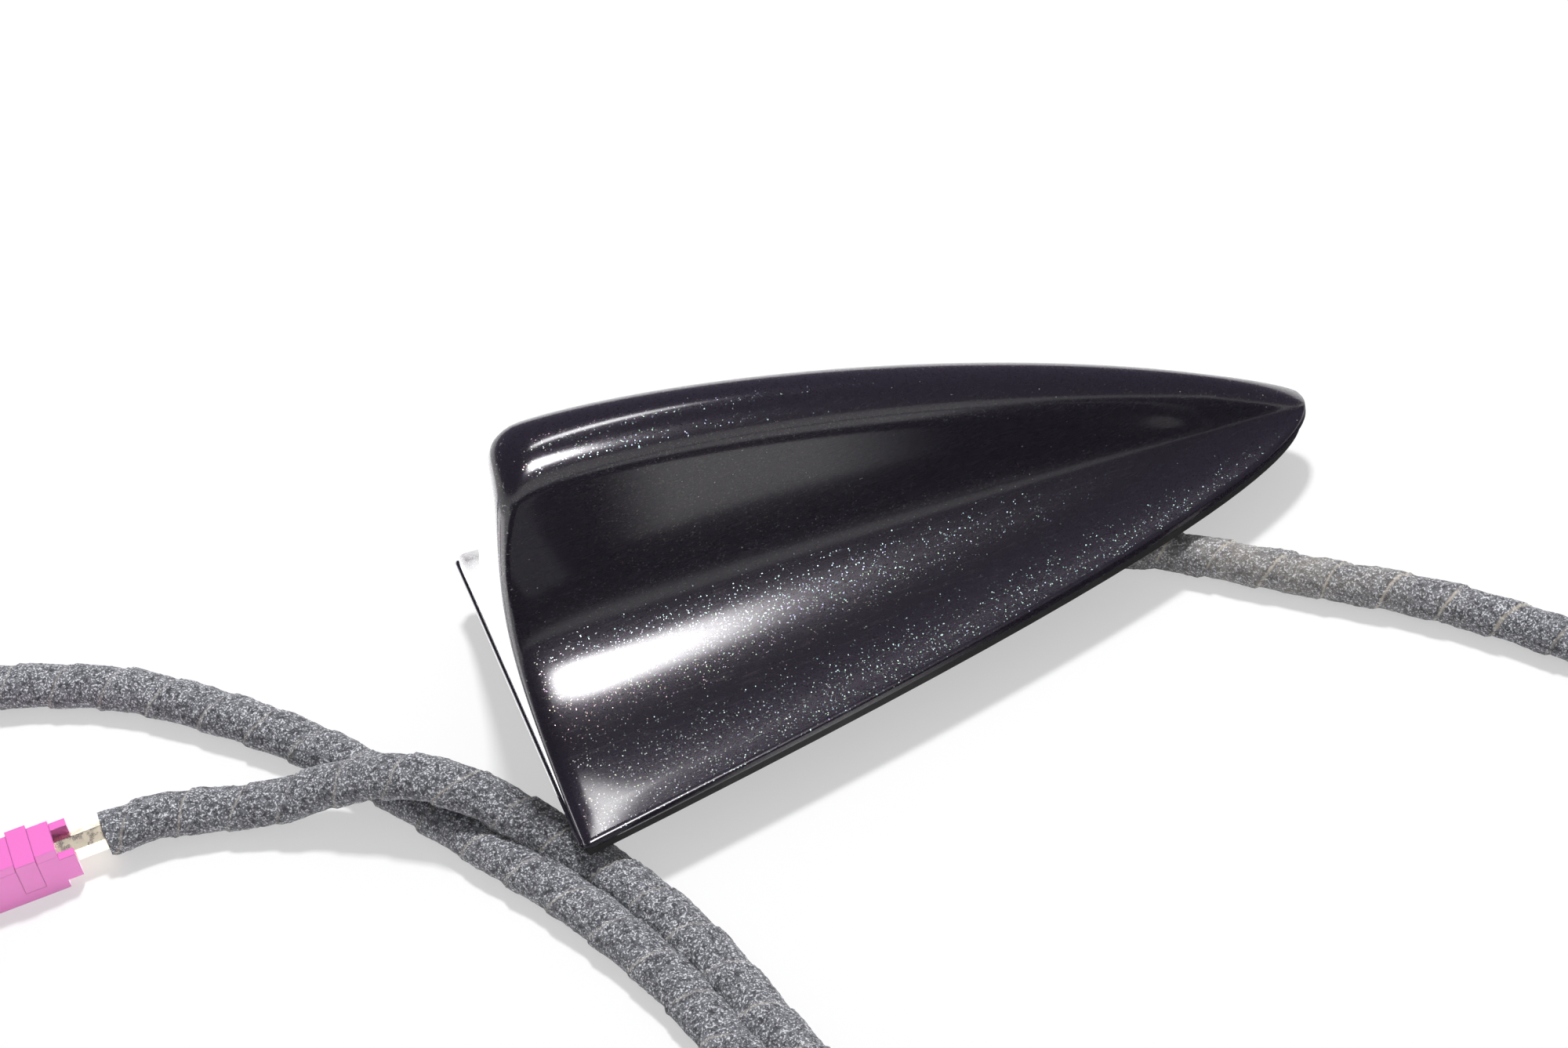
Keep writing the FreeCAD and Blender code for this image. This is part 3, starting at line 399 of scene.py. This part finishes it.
def cover_columns(levels):
    """Points of the left flank by level: from the tail face, round its edge, and on to the nose."""
    corners = [tail_corner(level) for level in levels]
    columns = []
    for index, level in enumerate(levels):
        corner = corners[index]
        edge = tail_round(level)
        before = corners[max(index - 1, 0)]
        after = corners[min(index + 1, len(levels) - 1)]
        inward = Vector((0, -(after.z - before.z), after.y - before.y))
        if index == len(levels) - 1:
            inward = Vector((0, 0, -1))
        inward.normalize()
        face_y = max(corner.y + inward.y * edge, 0.0)
        face_z = corner.z + inward.z * edge if index >= UPRIGHT_LEVELS else corner.z
        face = Vector((tail_bow(face_z), face_y, face_z))
        ahead_side, ahead_z = outline(corner.x + edge, level)
        ahead = Vector((corner.x + edge, ahead_side, ahead_z))
        column = []
        for step in range(EDGE_STEPS + 1):
            share = step / EDGE_STEPS
            column.append(face.lerp(corner, share).lerp(corner.lerp(ahead, share), share))
        for station in range(1, STATIONS + 1):
            share = station / STATIONS
            reach = 1 - (1 - share) ** 2
            x = ahead.x + reach * (NOSE - NOSE_FLAT - ahead.x)
            side, z = outline(x, level)
            column.append(Vector((x, side, z)))
        columns.append(column)
    return columns


def cover_mesh(name):
    """The fin's painted skin, closed by its tail face and by a small flat at the nose."""
    levels = [*LIP_LEVELS, *(1 + step / FLANK_LEVELS for step in range(1, FLANK_LEVELS + 1))]
    left = cover_columns(levels)
    right = [[Vector((p.x, -p.y, p.z)) for p in column] for column in left[:-1]]
    around = left + right[::-1]
    count = len(around[0])
    points = [p * MM for column in around for p in column]
    faces = []
    for row in range(len(around) - 1):
        for step in range(count - 1):
            here = row * count + step
            faces.append((here, here + count, here + 1 + count, here + 1))
    rows = len(levels)
    tail_start = []
    for index in range(rows - 1):
        start = around[index][0]
        last = (len(around) - 1 - index) * count
        across = [index * count]
        for step in range(1, TAIL_COLUMNS):
            share = step / TAIL_COLUMNS
            points.append(Vector((start.x, start.y * (1 - 2 * share), start.z)) * MM)
            across.append(len(points) - 1)
        tail_start.append(across + [last])
    for low, high in zip(tail_start, tail_start[1:]):
        for step in range(TAIL_COLUMNS):
            faces.append((low[step], low[step + 1], high[step + 1], high[step]))
    crest = (rows - 1) * count
    for step in range(TAIL_COLUMNS):
        faces.append((tail_start[-1][step], tail_start[-1][step + 1], crest))
    faces.append([row * count + count - 1 for row in range(len(around))])
    mesh = bpy.data.meshes.new(name)
    mesh.from_pydata(points, [], faces)
    mesh.shade_smooth()
    mesh.update()
    return mesh


# Cover paint: noise scales are per metre, lengths are millimetres

MARK_GREY = grey(0.62)
FLAKE_SATURATION = 0.4
FLAKE_EDGE = 0.02
PAINT_ROUGHNESS = 0.26
FLAKE_POLISH = 0.13
CHIP_SCALE = 900.0
CHIP_REACH = 3.2
CHIPS_FROM = 30.0
CHIPS_FULL = 44.0
SPECK_SCALE = 1500.0
SCUFF_STRETCH = (14.0, 190.0, 190.0)
SCUFF_SCALE = 9.0


def cover_paint(look):
    """Black metallic lacquer: tilted flakes under a clear coat, with scuffs, chips and specks of dust."""
    material, shader, place = new_material("cover_paint", coat_weight=1.0, coat_roughness=0.11,
                                           specular_ior_level=0.25, specular_tint=(0.97, 0.86, 1.0, 1))
    cells = place.node("ShaderNodeTexVoronoi", {"Vector": place, "Scale": 1 / look.flake_size},
                       output="Color")
    flake = cells.parts()[0].ramp(1 - look.flake_share, 1 + FLAKE_EDGE - look.flake_share)
    scatter = cells.node("ShaderNodeTexWhiteNoise", {"Vector": cells}, output="Color")
    tint = scatter.node("ShaderNodeHueSaturation",
                        {"Saturation": FLAKE_SATURATION, "Value": look.flake_glow, "Color": scatter})
    x, _, z = place.parts()
    drop = z - TAIL_BOW_START * MM
    behind = x - (drop * drop / (2 * TAIL_BOW_RADIUS * MM) + TAIL * MM)
    facing = place.node("ShaderNodeNewGeometry", output="Normal")
    off_tail_face = facing.parts()[0].ramp(-0.97, -0.85)
    high_up = z.ramp(CHIPS_FROM * MM, CHIPS_FULL * MM)
    near_tail = (1 - behind.ramp(0.0, CHIP_REACH * MM)) * high_up * off_tail_face
    chips = place.noise(CHIP_SCALE, 3.0, 0.7).ramp(0.63, 0.66) * near_tail
    specks = place.noise(SPECK_SCALE, 1.0).ramp(0.79, 0.81) * look.dust
    marks = chips.over(specks)
    marks.between(flake.between(look.black, tint), MARK_GREY).into(shader, "Base Color")
    (flake * (1 - marks)).into(shader, "Metallic")
    stretched = place.node("ShaderNodeMapping", {"Vector": place, "Scale": SCUFF_STRETCH})
    scuffs = stretched.noise(SCUFF_SCALE, 5.0, 0.62).ramp(0.5, 0.78)
    (scuffs * look.scuffs + PAINT_ROUGHNESS - flake * FLAKE_POLISH).into(shader, "Roughness")
    (1 - marks).into(shader, "Coat Weight")
    tilt = scatter.node("ShaderNodeVectorMath", {0: scatter, 1: (0.5, 0.5, 0.5)}, operation="SUBTRACT")
    tilt = tilt.node("ShaderNodeVectorMath", {0: tilt, "Scale": flake * look.flake_tilt}, operation="SCALE")
    tilted = facing.node("ShaderNodeVectorMath", {0: facing, 1: tilt}, operation="ADD")
    tilted.node("ShaderNodeVectorMath", {0: tilted}, operation="NORMALIZE").into(shader, "Normal")
    return material


class FinSettings(bpy.types.PropertyGroup):
    black: colour("Black", "Colour of the lacquer between its flakes", (0.016, 0.013, 0.022, 1))
    flake_size: distance("Flake size", "Width of one metal flake", 0.16)
    flake_share: portion("Flake share", "Share of the lacquer that holds a flake", 0.16)
    flake_glow: portion("Flake brightness", "How much light a flake sends back", 0.1)
    flake_tilt: portion("Flake tilt", "How far flakes lean out of the surface", 0.26)
    scuffs: portion("Scuffs", "How much handling has dulled the lacquer", 0.12)
    dust: portion("Dust", "How strongly specks of dust show", 0.6)


class ANTENNA_OT_cover(bpy.types.Operator):
    """Make the fin's painted skin"""

    bl_idname = "antenna.cover"
    bl_label = "Cover"

    def execute(self, context):
        look = context.scene.antenna_fin
        skin = bpy.data.objects.new("fin_skin", cover_mesh("fin_skin"))
        context.scene.collection.objects.link(skin)
        skin.data.materials.append(cover_paint(look))
        shell = skin.modifiers.new("shell", "SOLIDIFY")
        shell.thickness = SKIN_THICKNESS * MM
        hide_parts("fin_cover")
        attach(skin, BODY)
        return {"FINISHED"}


# Felt tape: noise scales are per metre, lengths are millimetres

FIBRE_SCALE = 2600.0
CLUMP_SCALE = 1000.0
PATCH_SCALE = 110.0
FELT_DEPTH = 0.8
SEAM_AFTER = 0.06
SEAM_BEFORE = 0.96
DUSTY_UNTIL = 50.0
CLEAN_FROM = 105.0
TUBE_STEP = 0.7
RING_SIDES = 40
LINE_STEPS = 24
WANDER_SCALE = 60.0
WANDER = 0.5
LUMP_SCALE = 260.0
FUZZ_SCALE = 900.0


def felt(name, look, dusty_start, dusty_seams, wrap=None):
    """Felt tape, from where each point lies along the cable and around it."""
    material, shader, place = new_material(name, roughness=0.95, specular_ior_level=0.15, sheen_weight=0.3,
                                           sheen_roughness=0.5)
    along = place.node("ShaderNodeAttribute", output="Fac", attribute_name="along") / MM
    if wrap:
        turn = wrap(place, look).fraction()
    else:
        turn = place.node("ShaderNodeAttribute", output="Fac", attribute_name="wrap").fraction()
    seam = (1 - turn.ramp(0.0, SEAM_AFTER)).over(turn.ramp(SEAM_BEFORE, 1.0))
    fibre = place.noise(FIBRE_SCALE, 2.0, 0.6)
    clump = place.noise(CLUMP_SCALE, 3.0, 0.6)
    # Bright fibres show only on the lumps, and the felt goes from the dark colour in the bump's hollows to
    # the light one on its lumps: partly the felt's own uneven tone, partly painted shade in the hollows.
    speckle = fibre.ramp(0.52, 0.62) * clump.ramp(0.3, 0.55)
    mottle_and_hollow_shade = clump.ramp(0.3, 0.7).between(look.dark, look.light)
    flecked = (speckle * look.fleck).between(mottle_and_hollow_shade, look.fibre)
    patch = place.noise(PATCH_SCALE, 4.0, 0.6)
    dust = seam * patch.ramp(0.35, 0.55) * dusty_seams
    near_boot = 1 - along.ramp(DUSTY_UNTIL, CLEAN_FROM)
    start = near_boot * (patch.ramp(0.3, 0.7) * 0.6 + 0.2) * dusty_start
    dust.over(start).between(flecked, look.dust).into(shader, "Base Color")
    (clump * 0.5 + fibre * 0.4).bump(0.9, FELT_DEPTH * MM).into(shader, "Normal")
    return material


def wound(item, diameter, spread, look, material):
    """Make a cable's line into a tube that is wound with overlapping tape."""
    tree = bpy.data.node_groups.new(item.name, "GeometryNodeTree")
    for way in ("INPUT", "OUTPUT"):
        tree.interface.new_socket("Geometry", in_out=way, socket_type="NodeSocketGeometry")
    line = Wire(tree, tree.nodes.new("NodeGroupInput").outputs[0])
    line = line.node("GeometryNodeResampleCurve", {"Curve": line, "Length": TUBE_STEP * MM}, mode="LENGTH")
    line = line.store("along", line.node("GeometryNodeSplineParameter", output="Length"))
    ring = line.node("GeometryNodeCurvePrimitiveCircle",
                     {"Resolution": RING_SIDES, "Radius": diameter / 2 * MM})
    ring = ring.node("GeometryNodeTransform", {"Geometry": ring, "Rotation": (0, 0, look.seam_turn)})
    ring = ring.node("GeometryNodeTransform", {"Geometry": ring, "Scale": (spread, 1, 1)})
    ring = ring.store("around", ring.node("GeometryNodeSplineParameter"))
    tube = line.node("GeometryNodeCurveToMesh", {"Curve": line, "Profile Curve": ring, "Fill Caps": True})
    place = tube.node("GeometryNodeInputPosition")
    wrap = tube.fetch("along") / look.pitch + tube.fetch("around") + place.noise(WANDER_SCALE) * WANDER
    tube = tube.store("wrap", wrap)
    height = (tube.fetch("wrap").fraction() - 0.5) * look.step
    height = height + (place.noise(LUMP_SCALE) - 0.5) * look.lumps
    height = height + (place.noise(FUZZ_SCALE) - 0.5) * look.fuzz
    normal = tube.node("GeometryNodeInputNormal")
    offset = normal.node("ShaderNodeVectorMath", {0: normal, "Scale": height}, operation="SCALE")
    tube = tube.node("GeometryNodeSetPosition", {"Geometry": tube, "Offset": offset})
    x, y, z = place.parts()
    lying = place.node("ShaderNodeCombineXYZ", {0: x, 1: y, 2: z.over(CAD_BOX[0].z)})
    tube = tube.node("GeometryNodeSetPosition", {"Geometry": tube, "Position": lying})
    tube = tube.node("GeometryNodeSetShadeSmooth", {"Geometry": tube})
    tube = tube.node("GeometryNodeSetMaterial", {"Geometry": tube, "Material": material})
    tube.into(tree.nodes.new("NodeGroupOutput"), 0)
    item.modifiers.new("tape", "NODES").node_group = tree


def cable(context, name, route):
    """One spline that rounds off the route's corners."""
    data = bpy.data.curves.new(name, "CURVE")
    data.dimensions = "3D"
    data.resolution_u = LINE_STEPS
    data.twist_mode = "Z_UP"
    line = data.splines.new("NURBS")
    line.points.add(len(route) - 1)
    for point, place in zip(line.points, route):
        point.co = (*(place * MM), 1.0)
    line.order_u = 3
    line.use_endpoint_u = True
    item = bpy.data.objects.new(name, data)
    context.scene.collection.objects.link(item)
    return item


def line_length(route):
    """Length in millimetres of the line that the route's tangent arcs follow."""
    total = sum((after - before).length for before, after in zip(route, route[1:]))
    for before, corner, after in zip(route, route[1:], route[2:]):
        turn = (corner - before).angle(after - corner)
        reach = ARC_SHARE * min((corner - before).length, (after - corner).length)
        total -= 2 * reach - reach / math.tan(turn / 2) * turn
    return total


class HarnessSettings(bpy.types.PropertyGroup):
    # The dark felt colour is partly painted shade, laid in the hollows of the felt's bump; the light one
    # sits on its lumps.
    dark: colour("Dark felt", "Colour of the felt in its hollows", (0.058, 0.059, 0.069, 1))
    light: colour("Light felt", "Colour of the felt on its lumps", (0.23, 0.235, 0.263, 1))
    fibre: colour("Fibres", "Colour of the bright fibres in the felt", (0.86, 0.87, 0.92, 1))
    dust: colour("Dust", "Colour of the dust along seams and near the boot", (0.66, 0.6, 0.52, 1))
    pitch: distance("Wrap pitch", "Distance between turns of tape along the cable", 11.0)
    step: distance("Tape step", "Height of the edge where one turn lies on the last", 0.5)
    lumps: distance("Lumps", "Height of lumps under the tape", 0.65)
    fuzz: distance("Fuzz", "Height of the felt's own roughness", 0.6)
    seam_turn: bpy.props.FloatProperty(name="Wrap start", description="Turn of the wrap about the cable",
                                       subtype="ANGLE", default=0.0)
    spread: amount("Branch spread", "Width of a branch's tape against its height", 1.22)
    fleck: portion("Fibre share", "How strongly bright fibres show", 0.9)


def split_wrap(place, look):
    """Turns of tape over the split, from the place of each point."""
    x, y, z = place.parts()
    along = x * SPLIT_AXIS.x + y * SPLIT_AXIS.y
    return (along + z) / look.pitch


class ANTENNA_OT_harness(bpy.types.Operator):
    """Lay the taped trunk and its two branches"""

    bl_idname = "antenna.harness"
    bl_label = "Harness"

    def execute(self, context):
        look = context.scene.antenna_harness
        trunk_felt = felt("harness_trunk_tape", look, dusty_start=0.4, dusty_seams=0.9)
        cables = [
            ("harness_trunk", TRUNK_ROUTE, TRUNK_DIAMETER, 1.0, "fitting", ["harness_split"], trunk_felt),
        ]
        for word, route in (("telephone", TELEPHONE_ROUTE), ("navigation", NAVIGATION_ROUTE)):
            node = f"{word}_branch"
            plug = [f"{word}_plug_{part}" for part in PLUG_PARTS]
            branch_felt = felt(f"{node}_tape", look, dusty_start=0.0, dusty_seams=0.4)
            cables.append((node, route, BRANCH_DIAMETER, look.spread, "plug", plug, branch_felt))
        for node, route, diameter, spread, far_end, pieces, material in cables:
            item = cable(context, f"{node}_tape", route)
            item.data.materials.append(material)
            wound(item, diameter, spread, look, material)
            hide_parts(node)
            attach(item, BODY)
            route[0] * MM
            line_length(route) * MM
            diameter * MM
        dress("harness_split", felt("split_tape", look, dusty_start=0.0, dusty_seams=0.4, wrap=split_wrap))
        return {"FINISHED"}


# Base, seal and fixings

class BaseSettings(bpy.types.PropertyGroup):
    rubber: colour("Rubber", "Colour of the seal and the boot", (0.02, 0.018, 0.019, 1))
    metal: colour("Cast metal", "Colour of the base plate", (0.55, 0.56, 0.57, 1))


HAZE_SCALE = 70.0
HAZE_STRENGTH = 0.25
HAZE_COLOUR = (0.1, 0.09, 0.08, 1)
RUBBER_GRAIN = 1800.0
UNEVEN_SCALE = 160.0


def rubber(name, color):
    """Dull rubber with a dusty haze."""
    material, shader, place = new_material(name, roughness=0.7, specular_ior_level=0.3)
    haze = place.noise(HAZE_SCALE, 4.0, 0.6).ramp(0.45, 0.8) * HAZE_STRENGTH
    haze.between(color, HAZE_COLOUR).into(shader, "Base Color")
    place.noise(RUBBER_GRAIN, 2.0).bump(0.15, 0.2 * MM).into(shader, "Normal")
    return material


def metal(name, color, roughness, grain, edge):
    """A plain metal with a fine grain and softened edges."""
    material, shader, place = new_material(name, metallic=1.0, base_color=color)
    (place.noise(grain, 3.0, 0.6).ramp(0.3, 0.75) * 0.2 + roughness).into(shader, "Roughness")
    place.noise(grain, 3.0).bump(0.12, 0.1 * MM, Normal=soft_edges(place, edge)).into(shader, "Normal")
    return material


class ANTENNA_OT_base(bpy.types.Operator):
    """Finish the seal, the cast base, the stud and the screws"""

    bl_idname = "antenna.base"
    bl_label = "Base"

    def execute(self, context):
        look = context.scene.antenna_base
        black = rubber("seal_rubber", look.rubber)
        dress("roof_seal", black)
        dress("cable_boot", black)
        dress("base_plate", metal("plate_metal", look.metal, roughness=0.38, grain=1400.0, edge=0.3))
        zinc = metal("zinc_steel", (0.66, 0.65, 0.6, 1), roughness=0.25, grain=2200.0, edge=0.2)
        for node in ("fixing_stud", "cover_screws", "board_screws"):
            dress(node, zinc)
        return {"FINISHED"}


# Boards inside the cover

def moulding(name, color, roughness, edge):
    """A plain moulding with a faint unevenness and softened edges."""
    material, shader, place = new_material(name, base_color=color)
    (place.noise(UNEVEN_SCALE, 3.0).ramp(0.3, 0.7) * 0.12 + roughness).into(shader, "Roughness")
    soft_edges(place, edge).into(shader, "Normal")
    return material


class ANTENNA_OT_boards(bpy.types.Operator):
    """Finish the circuit board, the patch, the shield, the upright aerial and the inner leads"""

    bl_idname = "antenna.boards"
    bl_label = "Boards"

    def execute(self, context):
        laminate = moulding("board_laminate", (0.02, 0.12, 0.045, 1), roughness=0.35, edge=0.15)
        jacket = moulding("lead_jacket", grey(0.02), roughness=0.5, edge=0.1)
        dress("circuit_board", laminate)
        dress("telephone_aerial", laminate)
        ceramic = moulding("tile_ceramic", (0.66, 0.58, 0.46, 1), roughness=0.55, edge=0.2)
        silver = metal("patch_silver", (0.82, 0.81, 0.77, 1), roughness=0.3, grain=1500.0, edge=0.05)
        tin = metal("shield_tin", (0.7, 0.7, 0.68, 1), roughness=0.22, grain=900.0, edge=0.2)
        dress("patch_tile", ceramic)
        dress("patch_metal", silver)
        dress("amplifier_shield", tin)
        dress("telephone_lead", jacket)
        dress("navigation_lead", jacket)
        return {"FINISHED"}


# Plugs

class PlugSettings(bpy.types.PropertyGroup):
    telephone: colour("Telephone plug", "Colour of the plug on the telephone branch", (0.9, 0.2, 0.63, 1))
    navigation: colour("Navigation plug", "Colour of the plug on the other branch", (0.03, 0.14, 0.66, 1))


class ANTENNA_OT_plugs(bpy.types.Operator):
    """Finish the two coaxial plugs"""

    bl_idname = "antenna.plugs"
    bl_label = "Plugs"

    def execute(self, context):
        look = context.scene.antenna_plugs
        ferrule = metal("ferrule_metal", (0.72, 0.65, 0.5, 1), roughness=0.2, grain=700.0, edge=0.3)
        brass = metal("socket_brass", (0.8, 0.62, 0.3, 1), roughness=0.2, grain=1500.0, edge=0.1)
        core = moulding("core_plastic", (0.8, 0.8, 0.76, 1), roughness=0.4, edge=0.1)
        for word, color in (("telephone", look.telephone), ("navigation", look.navigation)):
            plastic = moulding(f"{word}_plug_plastic", color, roughness=0.36, edge=0.35)
            finishes = dict(zip(PLUG_PARTS, (plastic, plastic, ferrule, brass, core, brass)))
            for part, finish in finishes.items():
                dress(f"{word}_plug_{part}", finish)
        return {"FINISHED"}


# Camera, floor and lights

CAMERA_PLACE = (-0.1101, -0.45663, 0.51697)
CAMERA_RIGHT = (0.92645, -0.34982, -0.13901)
CAMERA_UP = (0.34772, 0.65386, 0.67198)
CAMERA_BACK = (-0.14418, -0.67089, 0.72741)
SENSOR_WIDTH = 36.0
LENS = 85.4

FLOOR_REACH = 20.0
FLOOR_LEVEL = CAD_BOX[0].z - 0.1 * MM
CARD_LEVEL = FLOOR_LEVEL + 0.05 * MM
REAR_FLAG_LEVEL = FLOOR_LEVEL + 0.08 * MM
KEY_PLACE = (0.3, 0.62, 1.6)
KEY_SIDE = 0.2
SQUARE = ((-1, -1), (1, -1), (1, 1), (-1, 1))
SIDE_FLAG = [(-0.2, -0.15, -0.05), (0.12, -0.022, -0.05), (0.12, -0.022, 0.014), (-0.2, -0.15, 0.034)]


class ANTENNA_OT_camera(bpy.types.Operator):
    """Set the camera at the photograph's angle"""

    bl_idname = "antenna.camera"
    bl_label = "Camera"

    def execute(self, context):
        data = bpy.data.cameras.new("camera")
        data.sensor_width = SENSOR_WIDTH
        data.lens = LENS
        item = bpy.data.objects.new("camera", data)
        turn = Matrix((CAMERA_RIGHT, CAMERA_UP, CAMERA_BACK)).transposed()
        item.matrix_world = Matrix.Translation(CAMERA_PLACE) @ turn.to_4x4()
        context.scene.collection.objects.link(item)
        context.scene.camera = item
        return {"FINISHED"}


class StageSettings(bpy.types.PropertyGroup):
    floor: colour("Floor", "Colour of the floor", (0.9, 0.9, 0.9, 1))
    whiten: portion("Floor whitening", "How far the camera and mirrors see the floor as pure white", 0.5)
    room: colour("Room", "Dim room that mirrors show above the floor", (0.16, 0.145, 0.2, 1))
    fill: amount("Fill light", "Strength of the soft light from all sides", 0.34)
    key: bpy.props.FloatProperty(name="Key light", description="Power of the lamp above and behind",
                                 unit="POWER", min=0.0, default=28.0)
    flank: amount("Flank box", "Strength of the panel that the fin's flank mirrors", 40.0)
    crest: amount("Crest box", "Strength of the panel that the fin's crest mirrors", 20.0)
    card: amount("Tail card", "Strength of the card on the floor that the fin's tail mirrors", 3.0)
    flag: colour("Flags", "Colour of the dark cards that the fin's flank mirrors", (0.05, 0.045, 0.06, 1))


def floor_material(look):
    """White floor that keeps the part's shadow, seen by the camera and by mirrors as close to pure white."""
    material, shader, place = new_material("floor_white", base_color=look.floor, roughness=1.0,
                                           specular_ior_level=0.0)
    camera, glossy, through = (place.node("ShaderNodeLightPath", output=f"Is {ray} Ray")
                               for ray in ("Camera", "Glossy", "Transmission"))
    white = place.node("ShaderNodeEmission", {"Color": grey(1.0)})
    seen = camera.over(glossy).over(through) * look.whiten
    plain = Wire(material.node_tree, shader.outputs[0])
    output = material.node_tree.nodes["Material Output"]
    place.node("ShaderNodeMixShader", {0: seen, 1: plain, 2: white}).into(output, "Surface")
    return material


def set_world(scene, look):
    """Soft white light from all sides, and a dim room in mirrors."""
    world = bpy.data.worlds.new("studio")
    world.use_nodes = True
    tree = world.node_tree
    tree.nodes.clear()
    glossy = Wire(tree, tree.nodes.new("ShaderNodeLightPath").outputs["Is Glossy Ray"])
    fill = glossy.node("ShaderNodeBackground", {"Color": grey(1.0), "Strength": look.fill})
    room = glossy.node("ShaderNodeBackground", {"Color": look.room, "Strength": 1.0})
    mix = glossy.node("ShaderNodeMixShader", {0: glossy, 1: fill, 2: room})
    mix.into(tree.nodes.new("ShaderNodeOutputWorld"), "Surface")
    scene.world = world


def flat_piece(context, name, corners, material):
    """A four-sided sheet of the studio, which is no part of the object."""
    mesh = bpy.data.meshes.new(name)
    mesh.from_pydata(corners, [], [(0, 1, 2, 3)])
    mesh.materials.append(material)
    item = bpy.data.objects.new(name, mesh)
    context.scene.collection.objects.link(item)
    return item


def key_light(context, place, side, power):
    data = bpy.data.lights.new("key", "AREA")
    data.size = side
    data.energy = power
    item = bpy.data.objects.new("key", data)
    item.location = place
    item.rotation_euler = (-Vector(place)).to_track_quat("-Z", "Y").to_euler()
    item.visible_camera = False
    item.visible_glossy = False
    context.scene.collection.objects.link(item)


def mirrored_panel(context, name, corners, color, strength, softness):
    """A panel with soft edges that only mirrors show."""
    material = bpy.data.materials.new(name)
    material.use_nodes = True
    tree = material.node_tree
    tree.nodes.clear()
    u, v, _ = Wire(tree, tree.nodes.new("ShaderNodeTexCoord").outputs["UV"]).parts()
    cover = ((1 - u * u) * (1 - v * v)).ramp(0.0, softness)
    lamp = cover.node("ShaderNodeEmission", {"Color": color, "Strength": strength})
    clear = cover.node("ShaderNodeBsdfTransparent")
    panel = cover.node("ShaderNodeMixShader", {0: cover, 1: clear, 2: lamp})
    panel.into(tree.nodes.new("ShaderNodeOutputMaterial"), "Surface")
    item = flat_piece(context, name, corners, material)
    for loop, place in zip(item.data.uv_layers.new().data, SQUARE):
        loop.uv = place
    item.visible_camera = False
    item.visible_diffuse = False
    item.visible_shadow = False


def sheet_corners(middle, ahead, aside):
    """Corners of a sheet from its middle and its two half sides."""
    return [Vector(middle) + Vector(ahead) * s + Vector(aside) * t for s, t in SQUARE]


def panel_corners(toward, reach, along, width, height):
    """Corners of a panel that faces the part from one direction, with its width along a given line."""
    out = Vector(toward).normalized()
    across = Vector(along)
    across = (across - out * across.dot(out)).normalized() * width / 2
    up = out.cross(across).normalized() * height / 2
    return sheet_corners(out * reach, across, up)


class ANTENNA_OT_stage(bpy.types.Operator):
    """Make the pale floor and the soft studio light"""

    bl_idname = "antenna.stage"
    bl_label = "Stage"

    def execute(self, context):
        scene = context.scene
        look = scene.antenna_stage
        scene.view_settings.view_transform = "Standard"
        set_world(scene, look)
        ground = sheet_corners((0, 0, FLOOR_LEVEL), (FLOOR_REACH, 0, 0), (0, FLOOR_REACH, 0))
        flat_piece(context, "floor", ground, floor_material(look))
        key_light(context, KEY_PLACE, KEY_SIDE, look.key)
        white = grey(1.0)
        flank = panel_corners(toward=(0.05, -0.87, 0.47), reach=1.2, along=(1, 0, 0), width=0.62, height=0.5)
        crest = panel_corners(toward=(0.26, -0.17, 0.95), reach=1.3, along=(0.63, 0.6, -0.33), width=1.1,
                              height=0.22)
        card = sheet_corners((-0.14, 0.06, CARD_LEVEL), (0.1, 0, 0), (0, 0.14, 0))
        front = sheet_corners((0.174, -0.148, CARD_LEVEL), (0.0525, 0.0462, 0), (0.198, -0.225, 0))
        rear = sheet_corners((-0.074, -0.085, REAR_FLAG_LEVEL), (0.056, 0, 0), (0, 0.055, 0))
        mirrored_panel(context, "flank_box", flank, white, look.flank, softness=1.0)
        mirrored_panel(context, "crest_box", crest, white, look.crest, softness=1.0)
        mirrored_panel(context, "tail_card", card, white, look.card, softness=0.3)
        mirrored_panel(context, "front_flag", front, look.flag, strength=1.0, softness=0.5)
        mirrored_panel(context, "rear_flag", rear, look.flag, strength=1.0, softness=0.5)
        mirrored_panel(context, "side_flag", SIDE_FLAG, look.flag, strength=1.0, softness=0.3)
        return {"FINISHED"}


class ANTENNA_PT_panel(bpy.types.Panel):
    bl_idname = "ANTENNA_PT_panel"
    bl_label = "Roof antenna"
    bl_space_type = "VIEW_3D"
    bl_region_type = "UI"
    bl_category = "Antenna"

    def draw(self, context):
        for group in SETTINGS:
            settings = getattr(context.scene, group)
            for name in settings.bl_rna.properties.keys():
                if name not in ("rna_type", "name"):
                    self.layout.prop(settings, name)
        for operator in OPERATORS:
            self.layout.operator(operator.bl_idname)


SETTINGS = {
    "antenna_fin": FinSettings,
    "antenna_harness": HarnessSettings,
    "antenna_base": BaseSettings,
    "antenna_plugs": PlugSettings,
    "antenna_stage": StageSettings,
}
OPERATORS = (ANTENNA_OT_camera, ANTENNA_OT_harness, ANTENNA_OT_cover, ANTENNA_OT_base, ANTENNA_OT_boards,
             ANTENNA_OT_plugs, ANTENNA_OT_stage)


def register():
    for kind in (*SETTINGS.values(), *OPERATORS, ANTENNA_PT_panel):
        bpy.utils.register_class(kind)
    for name, kind in SETTINGS.items():
        setattr(bpy.types.Scene, name, bpy.props.PointerProperty(type=kind))


def unregister():
    for name in SETTINGS:
        delattr(bpy.types.Scene, name)
    for kind in reversed((*SETTINGS.values(), *OPERATORS, ANTENNA_PT_panel)):
        bpy.utils.unregister_class(kind)


def main():
    register()
    for operator in OPERATORS:
        group, name = operator.bl_idname.split(".")
        if getattr(getattr(bpy.ops, group), name)() != {"FINISHED"}:
            raise RuntimeError(f"{operator.bl_label} did not finish")
    bpy.context.view_layer.update()


if __name__ == "__main__":
    main()
